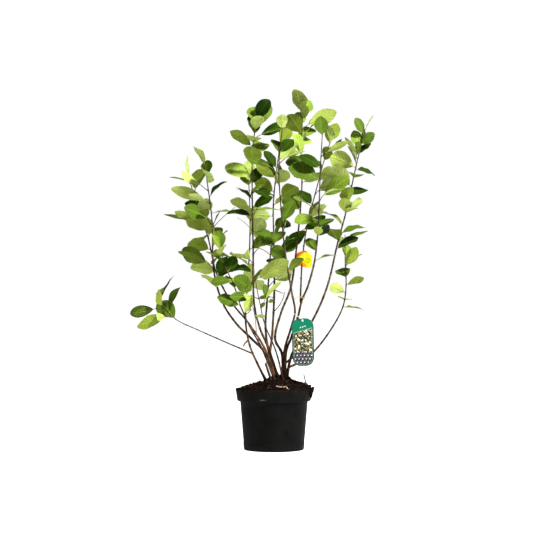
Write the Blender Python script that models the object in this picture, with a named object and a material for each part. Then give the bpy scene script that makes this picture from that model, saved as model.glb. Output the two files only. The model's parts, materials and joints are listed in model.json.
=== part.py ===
"""A chokeberry shrub in its nursery pot, built as separate solids.

Metres, +Z up. The origin is the middle of the pot's flat underside and the front faces -Y.
Thirteen stems leave the soil from one clump. Each follows a smooth route through a few points
and is cut into pieces along its length: a bare stem, then one mass of foliage after another.
Every mass is its stretch of the stem with side twigs and leaves set by one seeded rule.
"""

import math
from collections import namedtuple

import bmesh
import bpy
import numpy as np
from mathutils import Vector, noise
from mathutils.bvhtree import BVHTree

# --- Pot, soil and labels ----------------------------------------------------------------------

POT_HEIGHT = 0.179
RIM_TOP_RADIUS = 0.1130
RIM_FOOT_RADIUS = 0.1075
RIM_HEIGHT = 0.0360
BODY_TOP_RADIUS = 0.0995
BODY_FOOT_RADIUS = 0.0880
POT_WALL = 0.0018
POT_FLOOR = 0.0030
FOOT_STEP_HEIGHT = 0.0220
FOOT_STEP = 0.0007
DRAIN_HOLES = 6
DRAIN_HOLE_RADIUS = 0.0055
DRAIN_RING_RADIUS = 0.0620
ROUND_SIDES = 40

CLEARANCE = 0.0003
SOIL_EDGE_HEIGHT = 0.1765
SOIL_TOP_HEIGHT = 0.2080
CLUMP_CENTRE = (0.006, 0.0)
CLUMP_RADIUS = 0.0395
MOUND_REACH = 0.0680
MOUND_SHOULDER = 0.20
SHOULDER_REACH = 0.0090
SOIL_LUMP = 0.0035
SOIL_LUMP_SIZE = 0.022

LABEL_SIZE = (0.0630, 0.1380, 0.0008)
LABEL_CENTRE = (0.0840, -0.0650, 0.3170)
LABEL_TILT = math.radians(1.0)
LABEL_CORNER = 0.0240
LABEL_HOLE_RADIUS = 0.0032
LABEL_HOLE_DROP = 0.0065
RING_WIRE = 0.0008
RING_SEAT = 0.0008
RING_SHOOT = "middle_right"
RING_WAY = (-0.80, 0.0, 0.60)
RING_HALF_LENGTH = 0.0220
RING_FRONT = 0.0060
RING_STEPS = 24

BAND_SHOOT = "right_fork_bough"
BAND_SHARE = 0.262
BAND_SHIFT = 0.0035
BAND_SEAT = 0.0006
BAND_HALF_WIDTH = 0.0240
BAND_HALF_DEPTH = 0.0085
BAND_HEIGHT = 0.0460
BAND_THICKNESS = 0.0006
BAND_TURN = math.radians(8.0)

# --- Stems, twigs and leaves -------------------------------------------------------------------

FOOT_HEIGHT = SOIL_TOP_HEIGHT + CLEARANCE
FLARE = 0.45
FLARE_REACH = 0.016
STEM_SIDES = 7
TWIG_SIDES = 5
STEM_RING_SPACING = 0.040
ROUTE_SAMPLES = 64

LEAF_TURN = math.radians(137.5)
TURN_SPREAD = math.radians(22.0)
LEAN_RANGE = (math.radians(38.0), math.radians(82.0))
TOP_LEAN_SHARE = 0.55
LAST_LEAN_SHARE = 0.22
LAST_LEAF_DROP = 0.003
ROLL_SPREAD = math.radians(42.0)
CURL_RANGE = (0.10, 0.85)
FOLD_RANGE = (math.radians(6.0), math.radians(26.0))
SIZE_RANGE = (0.78, 1.06)
WIDTH_SHARE = (0.56, 0.76)
STALK_SHARE = 0.11
SPUR_SHARE = 0.30
SPUR_RANGE = (0.012, 0.030)
SPUR_PAIR_TURN = math.radians(70.0)
SPUR_LEANS = (0.5, 0.9)
SECOND_SIZE = 0.85
NODES_PER_LEAF = 0.80
FIRST_NODE = 0.4
END_MARGIN = 0.004
TOP_SIZE_LOSS = 0.12
TWIG_RADIUS = 0.0010
TWIG_TAPER = (1.3, 1.2, 1.1)
LEAF_THICKNESS_SHARE = 0.020
LEAF_PROFILE = ((0.34, 0.86), (0.68, 0.94))
LEAF_MARGIN = 0.0009
TURN_TRIES = 4
TRY_TURN = math.radians(31.0)

Mass = namedtuple("Mass", "name start end leaves length seed")
Shoot = namedtuple("Shoot", "name route foot_width tip_width masses parent")

# A route's points are (x, y, height); a shoot with a parent starts beside that shoot. A mass has
# the share of the shoot's length where it starts and ends, its number of leaves and their length.
SHOOTS = (
    Shoot(
        "left_arching",
        ((0.003, -0.003, FOOT_HEIGHT), (-0.021, -0.018, 0.278), (-0.069, -0.030, 0.329),
         (-0.112, -0.040, 0.373), (-0.151, -0.050, 0.436), (-0.175, -0.065, 0.532),
         (-0.179, -0.080, 0.673), (-0.199, -0.100, 0.828)),
        0.0085, 0.0028,
        (Mass("low", 0.45, 0.63, 5, 0.083, 6343), Mass("middle", 0.63, 0.82, 5, 0.070, 3782),
         Mass("top", 0.82, 1.0, 8, 0.076, 3116)),
        None,
    ),
    Shoot(
        "left_rear",
        ((0.000, 0.020, FOOT_HEIGHT), (-0.024, 0.019, 0.288), (-0.071, 0.030, 0.364),
         (-0.124, 0.040, 0.429), (-0.170, 0.050, 0.515), (-0.196, 0.070, 0.622),
         (-0.234, 0.090, 0.736), (-0.256, 0.100, 0.805)),
        0.0075, 0.0026,
        (Mass("low", 0.50, 0.74, 9, 0.080, 3456), Mass("top", 0.74, 1.0, 7, 0.080, 818)),
        None,
    ),
    Shoot(
        "left_front",
        ((0.001, -0.028, FOOT_HEIGHT), (-0.035, -0.040, 0.297), (-0.068, -0.060, 0.358),
         (-0.094, -0.090, 0.417), (-0.114, -0.120, 0.480), (-0.137, -0.140, 0.532),
         (-0.152, -0.160, 0.583)),
        0.0065, 0.0024,
        (Mass("leaves", 0.48, 1.0, 10, 0.066, 3245),),
        None,
    ),
    Shoot(
        "left_upright",
        ((-0.027, 0.000, FOOT_HEIGHT), (-0.047, 0.004, 0.248), (-0.072, 0.020, 0.306),
         (-0.084, 0.040, 0.379), (-0.080, 0.065, 0.473), (-0.073, 0.090, 0.586),
         (-0.072, 0.115, 0.692), (-0.076, 0.140, 0.792)),
        0.0070, 0.0026,
        (Mass("low", 0.38, 0.70, 5, 0.083, 6496), Mass("top", 0.70, 1.0, 6, 0.070, 6267)),
        None,
    ),
    Shoot(
        "middle_left",
        ((0.013, -0.018, FOOT_HEIGHT), (-0.016, -0.045, 0.298), (-0.042, -0.060, 0.361),
         (-0.058, -0.070, 0.437), (-0.060, -0.090, 0.584), (-0.062, -0.110, 0.727),
         (-0.061, -0.130, 0.869), (-0.047, -0.140, 0.956)),
        0.0080, 0.0026,
        (Mass("low", 0.34, 0.56, 8, 0.080, 4629), Mass("middle", 0.56, 0.76, 8, 0.070, 7336),
         Mass("upper", 0.76, 0.90, 4, 0.086, 5582), Mass("top", 0.90, 1.0, 8, 0.080, 383)),
        None,
    ),
    Shoot(
        "middle_front",
        ((0.026, -0.031, FOOT_HEIGHT), (0.006, -0.055, 0.289), (-0.026, -0.090, 0.368),
         (-0.040, -0.125, 0.430), (-0.051, -0.160, 0.486)),
        0.0055, 0.0022,
        (Mass("leaves", 0.58, 1.0, 5, 0.064, 1483),),
        None,
    ),
    Shoot(
        "middle_short",
        ((0.013, 0.012, FOOT_HEIGHT), (-0.015, 0.036, 0.285), (-0.025, 0.060, 0.355),
         (-0.021, 0.085, 0.428), (-0.014, 0.120, 0.527), (-0.006, 0.160, 0.636)),
        0.0090, 0.0034,
        (Mass("leaves", 0.60, 1.0, 9, 0.058, 4148),),
        None,
    ),
    Shoot(
        "middle_rear",
        ((0.008, 0.033, FOOT_HEIGHT), (-0.013, 0.040, 0.255), (-0.005, 0.070, 0.340),
         (0.001, 0.100, 0.467), (0.000, 0.140, 0.602), (-0.002, 0.170, 0.724),
         (0.009, 0.200, 0.838), (0.021, 0.220, 0.925)),
        0.0085, 0.0026,
        (Mass("middle", 0.48, 0.76, 8, 0.081, 8714), Mass("top", 0.76, 1.0, 9, 0.074, 9782)),
        None,
    ),
    Shoot(
        "tallest",
        ((0.027, 0.023, FOOT_HEIGHT), (0.023, 0.006, 0.280), (0.003, 0.006, 0.327),
         (0.021, 0.000, 0.401), (0.051, -0.010, 0.483), (0.069, -0.020, 0.620),
         (0.081, -0.020, 0.760), (0.080, -0.015, 0.877), (0.084, -0.010, 0.986)),
        0.0085, 0.0028,
        (Mass("middle", 0.52, 0.72, 3, 0.079, 3399), Mass("upper", 0.72, 0.88, 4, 0.079, 6008),
         Mass("top", 0.88, 1.0, 9, 0.076, 2472)),
        None,
    ),
    Shoot(
        "middle_right",
        ((0.022, -0.004, FOOT_HEIGHT), (0.031, -0.025, 0.293), (0.049, -0.040, 0.355),
         (0.061, -0.055, 0.405), (0.051, -0.075, 0.463), (0.032, -0.110, 0.578),
         (0.020, -0.150, 0.702), (0.014, -0.180, 0.814), (0.023, -0.200, 0.923)),
        0.0080, 0.0026,
        (Mass("low", 0.42, 0.62, 5, 0.052, 2800), Mass("middle", 0.62, 0.81, 5, 0.075, 8335),
         Mass("top", 0.81, 1.0, 6, 0.060, 4887)),
        None,
    ),
    Shoot(
        "right_forked",
        ((0.032, -0.019, FOOT_HEIGHT), (0.035, -0.030, 0.285), (0.051, -0.035, 0.331),
         (0.070, -0.030, 0.390), (0.081, -0.025, 0.436), (0.099, -0.040, 0.480),
         (0.117, -0.060, 0.549), (0.126, -0.080, 0.627), (0.130, -0.100, 0.719),
         (0.133, -0.115, 0.818), (0.138, -0.130, 0.909)),
        0.0085, 0.0026,
        (Mass("low", 0.48, 0.68, 6, 0.065, 1774), Mass("middle", 0.68, 0.85, 5, 0.088, 9069),
         Mass("top", 0.85, 1.0, 4, 0.071, 1579)),
        None,
    ),
    Shoot(
        "right_fork_bough",
        ((0.080, -0.025, 0.432), (0.079, 0.000, 0.483), (0.084, 0.030, 0.562),
         (0.099, 0.060, 0.660), (0.126, 0.090, 0.765), (0.151, 0.115, 0.857),
         (0.170, 0.130, 0.912)),
        0.0050, 0.0026,
        (Mass("middle", 0.45, 0.74, 6, 0.066, 4741), Mass("top", 0.74, 1.0, 6, 0.061, 2351)),
        "right_forked",
    ),
    Shoot(
        "right_arching",
        ((0.037, -0.003, FOOT_HEIGHT), (0.050, -0.005, 0.272), (0.076, -0.010, 0.322),
         (0.121, -0.015, 0.394), (0.158, -0.020, 0.486), (0.185, -0.030, 0.602),
         (0.212, -0.040, 0.704), (0.234, -0.050, 0.808), (0.262, -0.060, 0.929)),
        0.0085, 0.0026,
        (Mass("middle", 0.52, 0.70, 7, 0.076, 4400), Mass("upper", 0.70, 0.86, 6, 0.080, 1003),
         Mass("top", 0.86, 1.0, 9, 0.065, 477)),
        None,
    ),
    Shoot(
        "right_low",
        ((0.035, 0.011, FOOT_HEIGHT), (0.042, 0.018, 0.237), (0.067, 0.030, 0.250),
         (0.121, 0.045, 0.288), (0.173, 0.060, 0.356), (0.205, 0.075, 0.417),
         (0.215, 0.090, 0.479), (0.213, 0.105, 0.551), (0.213, 0.120, 0.626)),
        0.0075, 0.0024,
        (Mass("low", 0.55, 0.80, 7, 0.068, 4014), Mass("top", 0.80, 1.0, 5, 0.062, 7937)),
        None,
    ),
    Shoot(
        "low_left_bough",
        ((-0.064, 0.011, 0.281), (-0.099, -0.020, 0.297), (-0.137, -0.035, 0.314),
         (-0.218, -0.060, 0.351), (-0.280, -0.075, 0.381), (-0.317, -0.085, 0.418),
         (-0.337, -0.090, 0.454)),
        0.0048, 0.0022,
        (Mass("leaves", 0.72, 1.0, 9, 0.080, 2021),),
        "left_upright",
    ),
)

COLOURS = {
    "pot": ((0.012, 0.013, 0.014), 0.45),
    "soil": ((0.020, 0.012, 0.008), 0.95),
    "bark": ((0.110, 0.055, 0.035), 0.75),
    "foliage": ((0.130, 0.300, 0.030), 0.45),
    "care_label": ((0.010, 0.260, 0.140), 0.35),
    "wire": ((0.350, 0.350, 0.350), 0.50),
    "paper_band": ((0.950, 0.700, 0.010), 0.45),
}


# --- Shared helpers ----------------------------------------------------------------------------


def clear_scene():
    for thing in list(bpy.data.objects):
        bpy.data.objects.remove(thing, do_unlink=True)


def material(name):
    """One material for each kind of surface, made when it is first asked for."""
    found = bpy.data.materials.get(name)
    if found:
        return found
    made = bpy.data.materials.new(name)
    made.use_nodes = True
    colour, roughness = COLOURS[name]
    shader = made.node_tree.nodes["Principled BSDF"]
    shader.inputs["Base Color"].default_value = (*colour, 1.0)
    shader.inputs["Roughness"].default_value = roughness
    shader.inputs["Metallic"].default_value = 0.0
    made.diffuse_color = (*colour, 1.0)
    return made


def add_object(name, mesh, kind):
    mesh.materials.clear()
    mesh.materials.append(material(kind))
    made = bpy.data.objects.new(name, mesh)
    bpy.context.scene.collection.objects.link(made)
    return made


def mesh_of(name, points, faces):
    mesh = bpy.data.meshes.new(name)
    mesh.from_pydata([tuple(p) for p in points], [], faces)
    mesh.update()
    return mesh


def unit(vector):
    return vector / np.linalg.norm(vector)


def turned(vector, axis, angle):
    """The vector turned about a unit axis, by Rodrigues' formula."""
    across = np.cross(axis, vector)
    along = axis * np.dot(axis, vector)
    return vector * math.cos(angle) + across * math.sin(angle) + along * (1 - math.cos(angle))


def lathe(name, profile, sides=ROUND_SIDES):
    """A profile of (radius, height) pairs from axis to axis, turned about Z into one closed body."""
    rings = profile[1:-1]
    angles = np.arange(sides) * 2 * math.pi / sides
    points = [(0.0, 0.0, profile[0][1])]
    for radius, height in rings:
        points += [(radius * math.cos(a), radius * math.sin(a), height) for a in angles]
    points.append((0.0, 0.0, profile[-1][1]))
    last = len(points) - 1
    faces = []
    for i in range(sides):
        j = (i + 1) % sides
        faces.append((0, 1 + j, 1 + i))
        for k in range(len(rings) - 1):
            a, b = 1 + k * sides, 1 + (k + 1) * sides
            faces.append((a + i, a + j, b + j, b + i))
        top = 1 + (len(rings) - 1) * sides
        faces.append((last, top + i, top + j))
    return mesh_of(name, points, faces)


def tube_parts(path, radii, sides, tangents=None, closed=False):
    """Points and faces of a tube along a path: rings held untwisted from one to the next."""
    path = np.asarray(path)
    count = len(path)
    if closed:
        tangents = np.roll(path, -1, axis=0) - np.roll(path, 1, axis=0)
    elif tangents is None:
        tangents = np.gradient(path, axis=0)
    side = unit(np.cross(tangents[0], (0.31, 0.95, 0.05)))
    points, faces = [], []
    for centre, tangent, radius in zip(path, tangents, radii):
        tangent = unit(tangent)
        side = unit(side - tangent * np.dot(side, tangent))
        other = np.cross(tangent, side)
        for k in range(sides):
            angle = 2 * math.pi * k / sides
            points.append(centre + radius * (side * math.cos(angle) + other * math.sin(angle)))
    for ring in range(count if closed else count - 1):
        a, b = ring * sides, ((ring + 1) % count) * sides
        for k in range(sides):
            n = (k + 1) % sides
            faces.append((a + k, a + n, b + n, b + k))
    if not closed:
        faces.append(tuple(range(sides))[::-1])
        faces.append(tuple((count - 1) * sides + k for k in range(sides)))
    return points, faces


# --- Pot and soil ------------------------------------------------------------------------------


def body_radius(height):
    """The outer radius of the pot's body, which widens evenly from its foot to the rim band."""
    share = height / (POT_HEIGHT - RIM_HEIGHT)
    return BODY_FOOT_RADIUS + (BODY_TOP_RADIUS - BODY_FOOT_RADIUS) * share


def rim_radius(height):
    """The outer radius of the rim band."""
    share = (height - (POT_HEIGHT - RIM_HEIGHT)) / RIM_HEIGHT
    return RIM_FOOT_RADIUS + (RIM_TOP_RADIUS - RIM_FOOT_RADIUS) * share


def make_pot():
    """A thin moulded shell: flat floor, a low step above the foot, and a wide band at the rim."""
    shoulder = POT_HEIGHT - RIM_HEIGHT
    step = FOOT_STEP_HEIGHT
    profile = [
        (0.0, 0.0),
        (BODY_FOOT_RADIUS - 0.002, 0.0),
        (BODY_FOOT_RADIUS, 0.002),
        (body_radius(step), step),
        (body_radius(step) - FOOT_STEP, step + 0.001),
        (BODY_TOP_RADIUS, shoulder),
        (RIM_FOOT_RADIUS - 0.001, shoulder + 0.0004),
        (RIM_FOOT_RADIUS, shoulder + 0.0014),
        (RIM_TOP_RADIUS, POT_HEIGHT - 0.0012),
        (RIM_TOP_RADIUS - 0.0006, POT_HEIGHT),
        (RIM_TOP_RADIUS - POT_WALL - 0.0004, POT_HEIGHT - 0.0004),
        (RIM_FOOT_RADIUS - POT_WALL, shoulder + POT_WALL),
        (BODY_TOP_RADIUS - POT_WALL, shoulder - 0.0004),
        (BODY_FOOT_RADIUS - POT_WALL, POT_FLOOR),
        (0.0, POT_FLOOR),
    ]
    pot = add_object("pot", lathe("pot", profile), "pot")
    drill_drain_holes(pot)
    shade(pot, 35.0)


def drill_drain_holes(pot):
    drills = []
    for k in range(DRAIN_HOLES):
        angle = (k + 0.5) * 2 * math.pi / DRAIN_HOLES
        bpy.ops.mesh.primitive_cylinder_add(
            vertices=10,
            radius=DRAIN_HOLE_RADIUS,
            depth=POT_FLOOR * 4,
            location=(DRAIN_RING_RADIUS * math.cos(angle), DRAIN_RING_RADIUS * math.sin(angle), 0.0),
        )
        drills.append(bpy.context.object)
    join_or_cut(pot, drills, "DIFFERENCE")


def shade(thing, crease_degrees):
    thing.data.shade_smooth()
    thing.data.set_sharp_from_angle(angle=math.radians(crease_degrees))


def join_or_cut(thing, others, operation):
    """One Boolean on a collection of the others, applied; the others are then removed."""
    group = bpy.data.collections.new("others")
    bpy.context.scene.collection.children.link(group)
    for other in others:
        for home in list(other.users_collection):
            home.objects.unlink(other)
        group.objects.link(other)
    cut = thing.modifiers.new("joined", "BOOLEAN")
    cut.operation = operation
    cut.operand_type = "COLLECTION"
    cut.collection = group
    cut.solver = "EXACT"
    bpy.context.view_layer.update()
    result = bpy.data.meshes.new_from_object(thing.evaluated_get(bpy.context.evaluated_depsgraph_get()))
    thing.modifiers.clear()
    thing.data = result
    for other in others:
        bpy.data.objects.remove(other, do_unlink=True)
    bpy.data.collections.remove(group)


def soil_height(x, y):
    """The mound: level under the clump of stems, a short shoulder, then a gentle lumpy slope."""
    away = max(math.hypot(x - CLUMP_CENTRE[0], y - CLUMP_CENTRE[1]) - CLUMP_RADIUS, 0.0)
    share = min(away / MOUND_REACH, 1.0)
    shoulder = MOUND_SHOULDER * math.exp(-away / SHOULDER_REACH)
    slope = shoulder + (1 - MOUND_SHOULDER) * (1 - share)
    height = SOIL_EDGE_HEIGHT + (SOIL_TOP_HEIGHT - SOIL_EDGE_HEIGHT) * slope
    lump = noise.noise(Vector((x, y, 0.0)) / SOIL_LUMP_SIZE) * SOIL_LUMP * min(share * 4, 1.0)
    return height + lump


def make_soil():
    """The peat fills the pot and stands up in a mound that the stems come out of."""
    shoulder = POT_HEIGHT - RIM_HEIGHT
    inside = POT_WALL + CLEARANCE
    edge = rim_radius(SOIL_EDGE_HEIGHT - 0.004) - POT_WALL - 0.0012
    profile = [
        (0.0, POT_FLOOR + CLEARANCE),
        (BODY_FOOT_RADIUS - inside - 0.0001, POT_FLOOR + CLEARANCE),
        (BODY_TOP_RADIUS - inside, shoulder),
        (RIM_FOOT_RADIUS - inside - 0.0003, shoulder + inside + 0.0004),
        (edge, SOIL_EDGE_HEIGHT - 0.004),
    ]
    rings = [edge - 0.004, 0.094, 0.080, 0.065, 0.053, CLUMP_RADIUS - 0.0005]
    profile += [(radius, SOIL_TOP_HEIGHT) for radius in rings] + [(0.0, SOIL_TOP_HEIGHT)]
    mesh = lathe("soil", profile)
    for vertex in mesh.vertices:
        if vertex.co.z >= SOIL_TOP_HEIGHT - 1e-6:
            away = math.hypot(vertex.co.x, vertex.co.y)
            vertex.co.x += CLUMP_CENTRE[0] * min((edge - 0.004 - away) / (edge - 0.004 - rings[-1]), 1.0)
            vertex.co.z = soil_height(vertex.co.x, vertex.co.y)
    soil = add_object("soil", mesh, "soil")
    shade(soil, 60.0)


# --- Stems -------------------------------------------------------------------------------------


class Curve:
    """A smooth route through a shoot's points, read by the share of its length."""

    def __init__(self, route):
        points = np.array(route, float)
        padded = np.vstack([2 * points[0] - points[1], points, 2 * points[-1] - points[-2]])
        share = np.linspace(0, 1, ROUTE_SAMPLES // 4, endpoint=False)[:, None]
        pieces = []
        for p0, p1, p2, p3 in zip(padded, padded[1:], padded[2:], padded[3:]):
            pieces.append(
                0.5 * (2 * p1 + (p2 - p0) * share + (2 * p0 - 5 * p1 + 4 * p2 - p3) * share**2
                       + (3 * p1 - p0 - 3 * p2 + p3) * share**3)
            )
        self.points = np.vstack(pieces + [points[-1:]])
        steps = np.linalg.norm(np.diff(self.points, axis=0), axis=1)
        self.run = np.concatenate([[0.0], np.cumsum(steps)])
        self.length = self.run[-1]

    def at(self, share):
        where = share * self.length
        return np.array([np.interp(where, self.run, self.points[:, k]) for k in range(3)])

    def tangent(self, share):
        reach = 0.004 / self.length
        return unit(self.at(min(share + reach, 1.0)) - self.at(max(share - reach, 0.0)))


def curve_of(shoot):
    """The shoot's curve. A bough's root is moved out of its parent until it stands 0.3 mm clear."""
    if shoot.parent is None:
        return Curve(shoot.route)
    parent = next(s for s in SHOOTS if s.name == shoot.parent)
    trunk = curve_of(parent)
    root = np.array(shoot.route[0])
    shares = np.linspace(0, 1, 400)
    nearest = min(shares, key=lambda share: np.linalg.norm(trunk.at(share) - root))
    away = np.array(shoot.route[1]) - trunk.at(nearest)
    along = trunk.tangent(nearest)
    outward = unit(away - along * np.dot(away, along))
    slope = np.dot(unit(away), along)
    reach = radius_at(parent, trunk, nearest) + CLEARANCE + shoot.foot_width / 2 * abs(slope)
    start = trunk.at(nearest) + outward * reach
    return Curve((tuple(start), *shoot.route[1:]))


def radius_at(shoot, curve, share):
    """The taper, with the root flare that only a stem from the soil has."""
    taper = share**0.8
    radius = (shoot.foot_width + (shoot.tip_width - shoot.foot_width) * taper) / 2
    if shoot.parent is None:
        radius *= 1 + FLARE * math.exp(-share * curve.length / FLARE_REACH)
    return radius


def stretch(shoot, curve, start, end):
    """The stem between two shares of its length: path and radii, with 0.15 mm off a cut end."""
    cut = CLEARANCE / 2 / curve.length
    start = start + cut if start > 0 else start
    end = end - cut if end < 1 else end
    count = max(3, math.ceil((end - start) * curve.length / STEM_RING_SPACING) + 1)
    shares = list(np.linspace(start, end, count))
    if start == 0 and shoot.parent is None:
        shares[1:1] = [FLARE_REACH * k / curve.length for k in (0.5, 1.2)]
    path = np.array([curve.at(share) for share in shares])
    tangents = [curve.tangent(share) for share in shares]
    return path, [radius_at(shoot, curve, share) for share in shares], tangents


def flat_foot(points, sides):
    """The first ring of a stem laid flat on the ground level."""
    for k in range(sides):
        points[k] = np.array([points[k][0], points[k][1], FOOT_HEIGHT])


def limb_parts(shoot, curve, start, end, sides):
    path, radii, tangents = stretch(shoot, curve, start, end)
    points, faces = tube_parts(path, radii, sides, tangents)
    if start == 0 and shoot.parent is None:
        flat_foot(points, sides)
    return points, faces


# --- Leaves ------------------------------------------------------------------------------------

Leaf = namedtuple("Leaf", "root stalk along upper length width curl fold")


def leaf_at(root, stem_way, outward, rng, length, lean_share):
    """A leaf that leans from its stem's way, upper face towards the tip, rolled a little."""
    lean = rng.uniform(*LEAN_RANGE) * lean_share
    roll = rng.normal(0, ROLL_SPREAD)
    curl = rng.uniform(*CURL_RANGE)
    fold = rng.uniform(*FOLD_RANGE)
    size = length * rng.uniform(*SIZE_RANGE)
    width = size * rng.uniform(*WIDTH_SHARE)
    along = stem_way * math.cos(lean) + outward * math.sin(lean)
    upper = stem_way * math.sin(lean) - outward * math.cos(lean)
    stalk = size * STALK_SHARE
    return Leaf(root, stalk, along, turned(upper, along, roll), size, width, curl, fold)


def midrib(leaf, share):
    """A point of the midrib and the blade's direction and upper side there: an arc of even curl."""
    turn = leaf.curl * share
    way = leaf.along * math.cos(turn) - leaf.upper * math.sin(turn)
    up = leaf.upper * math.cos(turn) + leaf.along * math.sin(turn)
    forward = leaf.length * math.sin(turn) / leaf.curl
    down = leaf.length * (1 - math.cos(turn)) / leaf.curl
    start = leaf.root + leaf.along * leaf.stalk
    return start + leaf.along * forward - leaf.upper * down, way, up


def leaf_parts(leaf):
    """A closed blade of three-cornered sections, flat above with a keel below, on its stalk."""
    side = np.cross(leaf.along, leaf.upper)
    low = side * math.cos(math.pi / 6), side * -math.cos(math.pi / 6)
    arms = [arm + leaf.upper * 0.5 for arm in low] + [-leaf.upper]
    sections = []
    for place in (leaf.root, leaf.root + leaf.along * leaf.stalk):
        sections.append([place + arm * TWIG_RADIUS for arm in arms])
    thick = leaf.length * LEAF_THICKNESS_SHARE
    for share, wide in LEAF_PROFILE:
        place, way, up = midrib(leaf, share)
        half = leaf.width / 2 * wide
        across = side * half * math.cos(leaf.fold)
        level = place + up * half * math.sin(leaf.fold) / 2
        sections.append([level + across, level - across, level - up * thick])
    points = [corner for section in sections for corner in section] + [midrib(leaf, 1.0)[0]]
    faces = [(0, 1, 2)]
    for k in range(len(sections) - 1):
        for corner in range(3):
            a, b = 3 * k + corner, 3 * k + (corner + 1) % 3
            faces += [(a, a + 3, b), (b, a + 3, b + 3)]
    tip = len(points) - 1
    faces += [(tip - 3 + corner, tip, tip - 3 + (corner + 1) % 3) for corner in range(3)]
    return points, faces


def growth(shoot, curve, mass, is_free):
    """The side twigs and leaves of one mass. is_free says if a piece would touch nothing else.

    Leaves follow one another round the stem at the golden angle from the mass's own start.
    Some stand on a short side twig with a second leaf. A piece that would touch another limb
    is turned on a little, at most a few times, and is otherwise left out.
    """
    rng = np.random.default_rng(mass.seed)
    phase = rng.uniform(0, 2 * math.pi)
    twigs, leaves = [], []
    planned, node = 0, 0
    gap = (mass.end - mass.start) / (mass.leaves * NODES_PER_LEAF)
    share = mass.start + gap * FIRST_NODE
    while planned < mass.leaves:
        share = min(share, mass.end - END_MARGIN / curve.length)
        tip_share = share**3 if mass.end == 1 else 0.0
        lean_share = 1 - TOP_LEAN_SHARE * tip_share
        length = mass.length * (1 - TOP_SIZE_LOSS * tip_share)
        angle = phase + node * LEAF_TURN + rng.normal(0, TURN_SPREAD)
        last = mass.end == 1 and planned + 1 == mass.leaves
        if last:
            share = 1 - LAST_LEAF_DROP / curve.length
            lean_share = LAST_LEAN_SHARE
        on_spur = rng.random() < SPUR_SHARE and planned + 2 <= mass.leaves
        spur_length = rng.uniform(*SPUR_RANGE)
        leaf_seed = int(rng.integers(1 << 30))
        root, way = curve.at(share), curve.tangent(share)
        side = unit(np.cross(way, (0.0, 1.0, 0.0)))
        for trial in range(TURN_TRIES):
            outward = turned(side, way, angle + trial * TRY_TURN)
            own = np.random.default_rng(leaf_seed)
            if on_spur:
                spur_way = unit(way + outward)
                end = root + spur_way * spur_length
                twig = (root, end)
                first = leaf_at(end, spur_way, outward, own, length, SPUR_LEANS[0])
                beside = turned(outward, spur_way, SPUR_PAIR_TURN)
                second = leaf_at(end, spur_way, beside, own, length * SECOND_SIZE, SPUR_LEANS[1])
                if is_free(twig_parts(twig)) and is_free(leaf_parts(first)):
                    twigs.append(twig)
                    leaves.append(first)
                    if is_free(leaf_parts(second)):
                        leaves.append(second)
                    break
            else:
                leaf = leaf_at(root, way, outward, own, length, lean_share)
                if is_free(leaf_parts(leaf)):
                    leaves.append(leaf)
                    break
        planned += 2 if on_spur else 1
        node += 1
        share += gap
    return twigs, leaves


def twig_parts(twig):
    """A three-sided side twig from the middle of the stem to its end."""
    root, end = twig
    way = unit(end - root)
    path = [root, (root + end) / 2, end + way * TWIG_RADIUS]
    return tube_parts(path, [TWIG_RADIUS * swell for swell in TWIG_TAPER], 3)


class Crowd:
    """The solids that are already in place, to test whether a new piece would touch one."""

    def __init__(self):
        self.trees = []

    def add(self, owner, parts):
        points, faces = parts
        tree = BVHTree.FromPolygons([tuple(p) for p in points], faces, epsilon=LEAF_MARGIN)
        self.trees.append((owner, np.min(points, axis=0), np.max(points, axis=0), tree))

    def is_free(self, owner, parts):
        points, faces = parts
        low = np.min(points, axis=0) - 2 * LEAF_MARGIN
        high = np.max(points, axis=0) + 2 * LEAF_MARGIN
        mine = None
        for other, other_low, other_high, tree in self.trees:
            if other == owner or np.any(other_low > high) or np.any(other_high < low):
                continue
            if mine is None:
                mine = BVHTree.FromPolygons([tuple(p) for p in points], faces, epsilon=LEAF_MARGIN)
            if mine.overlap(tree):
                return False
        return True


def mass_name(shoot, mass):
    return f"foliage_{shoot.name}_{mass.name}"


def bare_name(shoot):
    return f"bough_{shoot.name}" if shoot.parent else f"stem_{shoot.name}"


def grow_plant(crowd):
    """The whole plant as plain data: for each node its stem piece, twigs and leaves."""
    curves = {shoot.name: curve_of(shoot) for shoot in SHOOTS}
    pieces = []
    for shoot in SHOOTS:
        curve = curves[shoot.name]
        first = shoot.masses[0].start
        pieces.append((bare_name(shoot), shoot, None, limb_parts(shoot, curve, 0, first, STEM_SIDES)))
        for mass in shoot.masses:
            parts = limb_parts(shoot, curve, mass.start, mass.end, TWIG_SIDES)
            pieces.append((mass_name(shoot, mass), shoot, mass, parts))
    for name, shoot, mass, parts in pieces:
        crowd.add(name, parts)
    grown = []
    for name, shoot, mass, parts in pieces:
        twigs, leaves = [], []
        if mass:
            twigs, leaves = growth(shoot, curves[shoot.name], mass, lambda p: crowd.is_free(name, p))
        for twig in twigs:
            crowd.add(name, twig_parts(twig))
        for leaf in leaves:
            crowd.add(name, leaf_parts(leaf))
        grown.append((name, parts, twigs, leaves))
    return grown


def make_plant(grown):
    for name, parts, twigs, leaves in grown:
        kind = "foliage" if leaves else "bark"
        thing = add_object(name, mesh_of(name, *parts), kind)
        extras = [mesh_of("twig", *twig_parts(twig)) for twig in twigs]
        extras += [mesh_of("leaf", *leaf_parts(leaf)) for leaf in leaves]
        if extras:
            join_or_cut(thing, [add_object("extra", mesh, kind) for mesh in extras], "UNION")
        shade(thing, 40.0)


# --- Labels ------------------------------------------------------------------------------------


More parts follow.
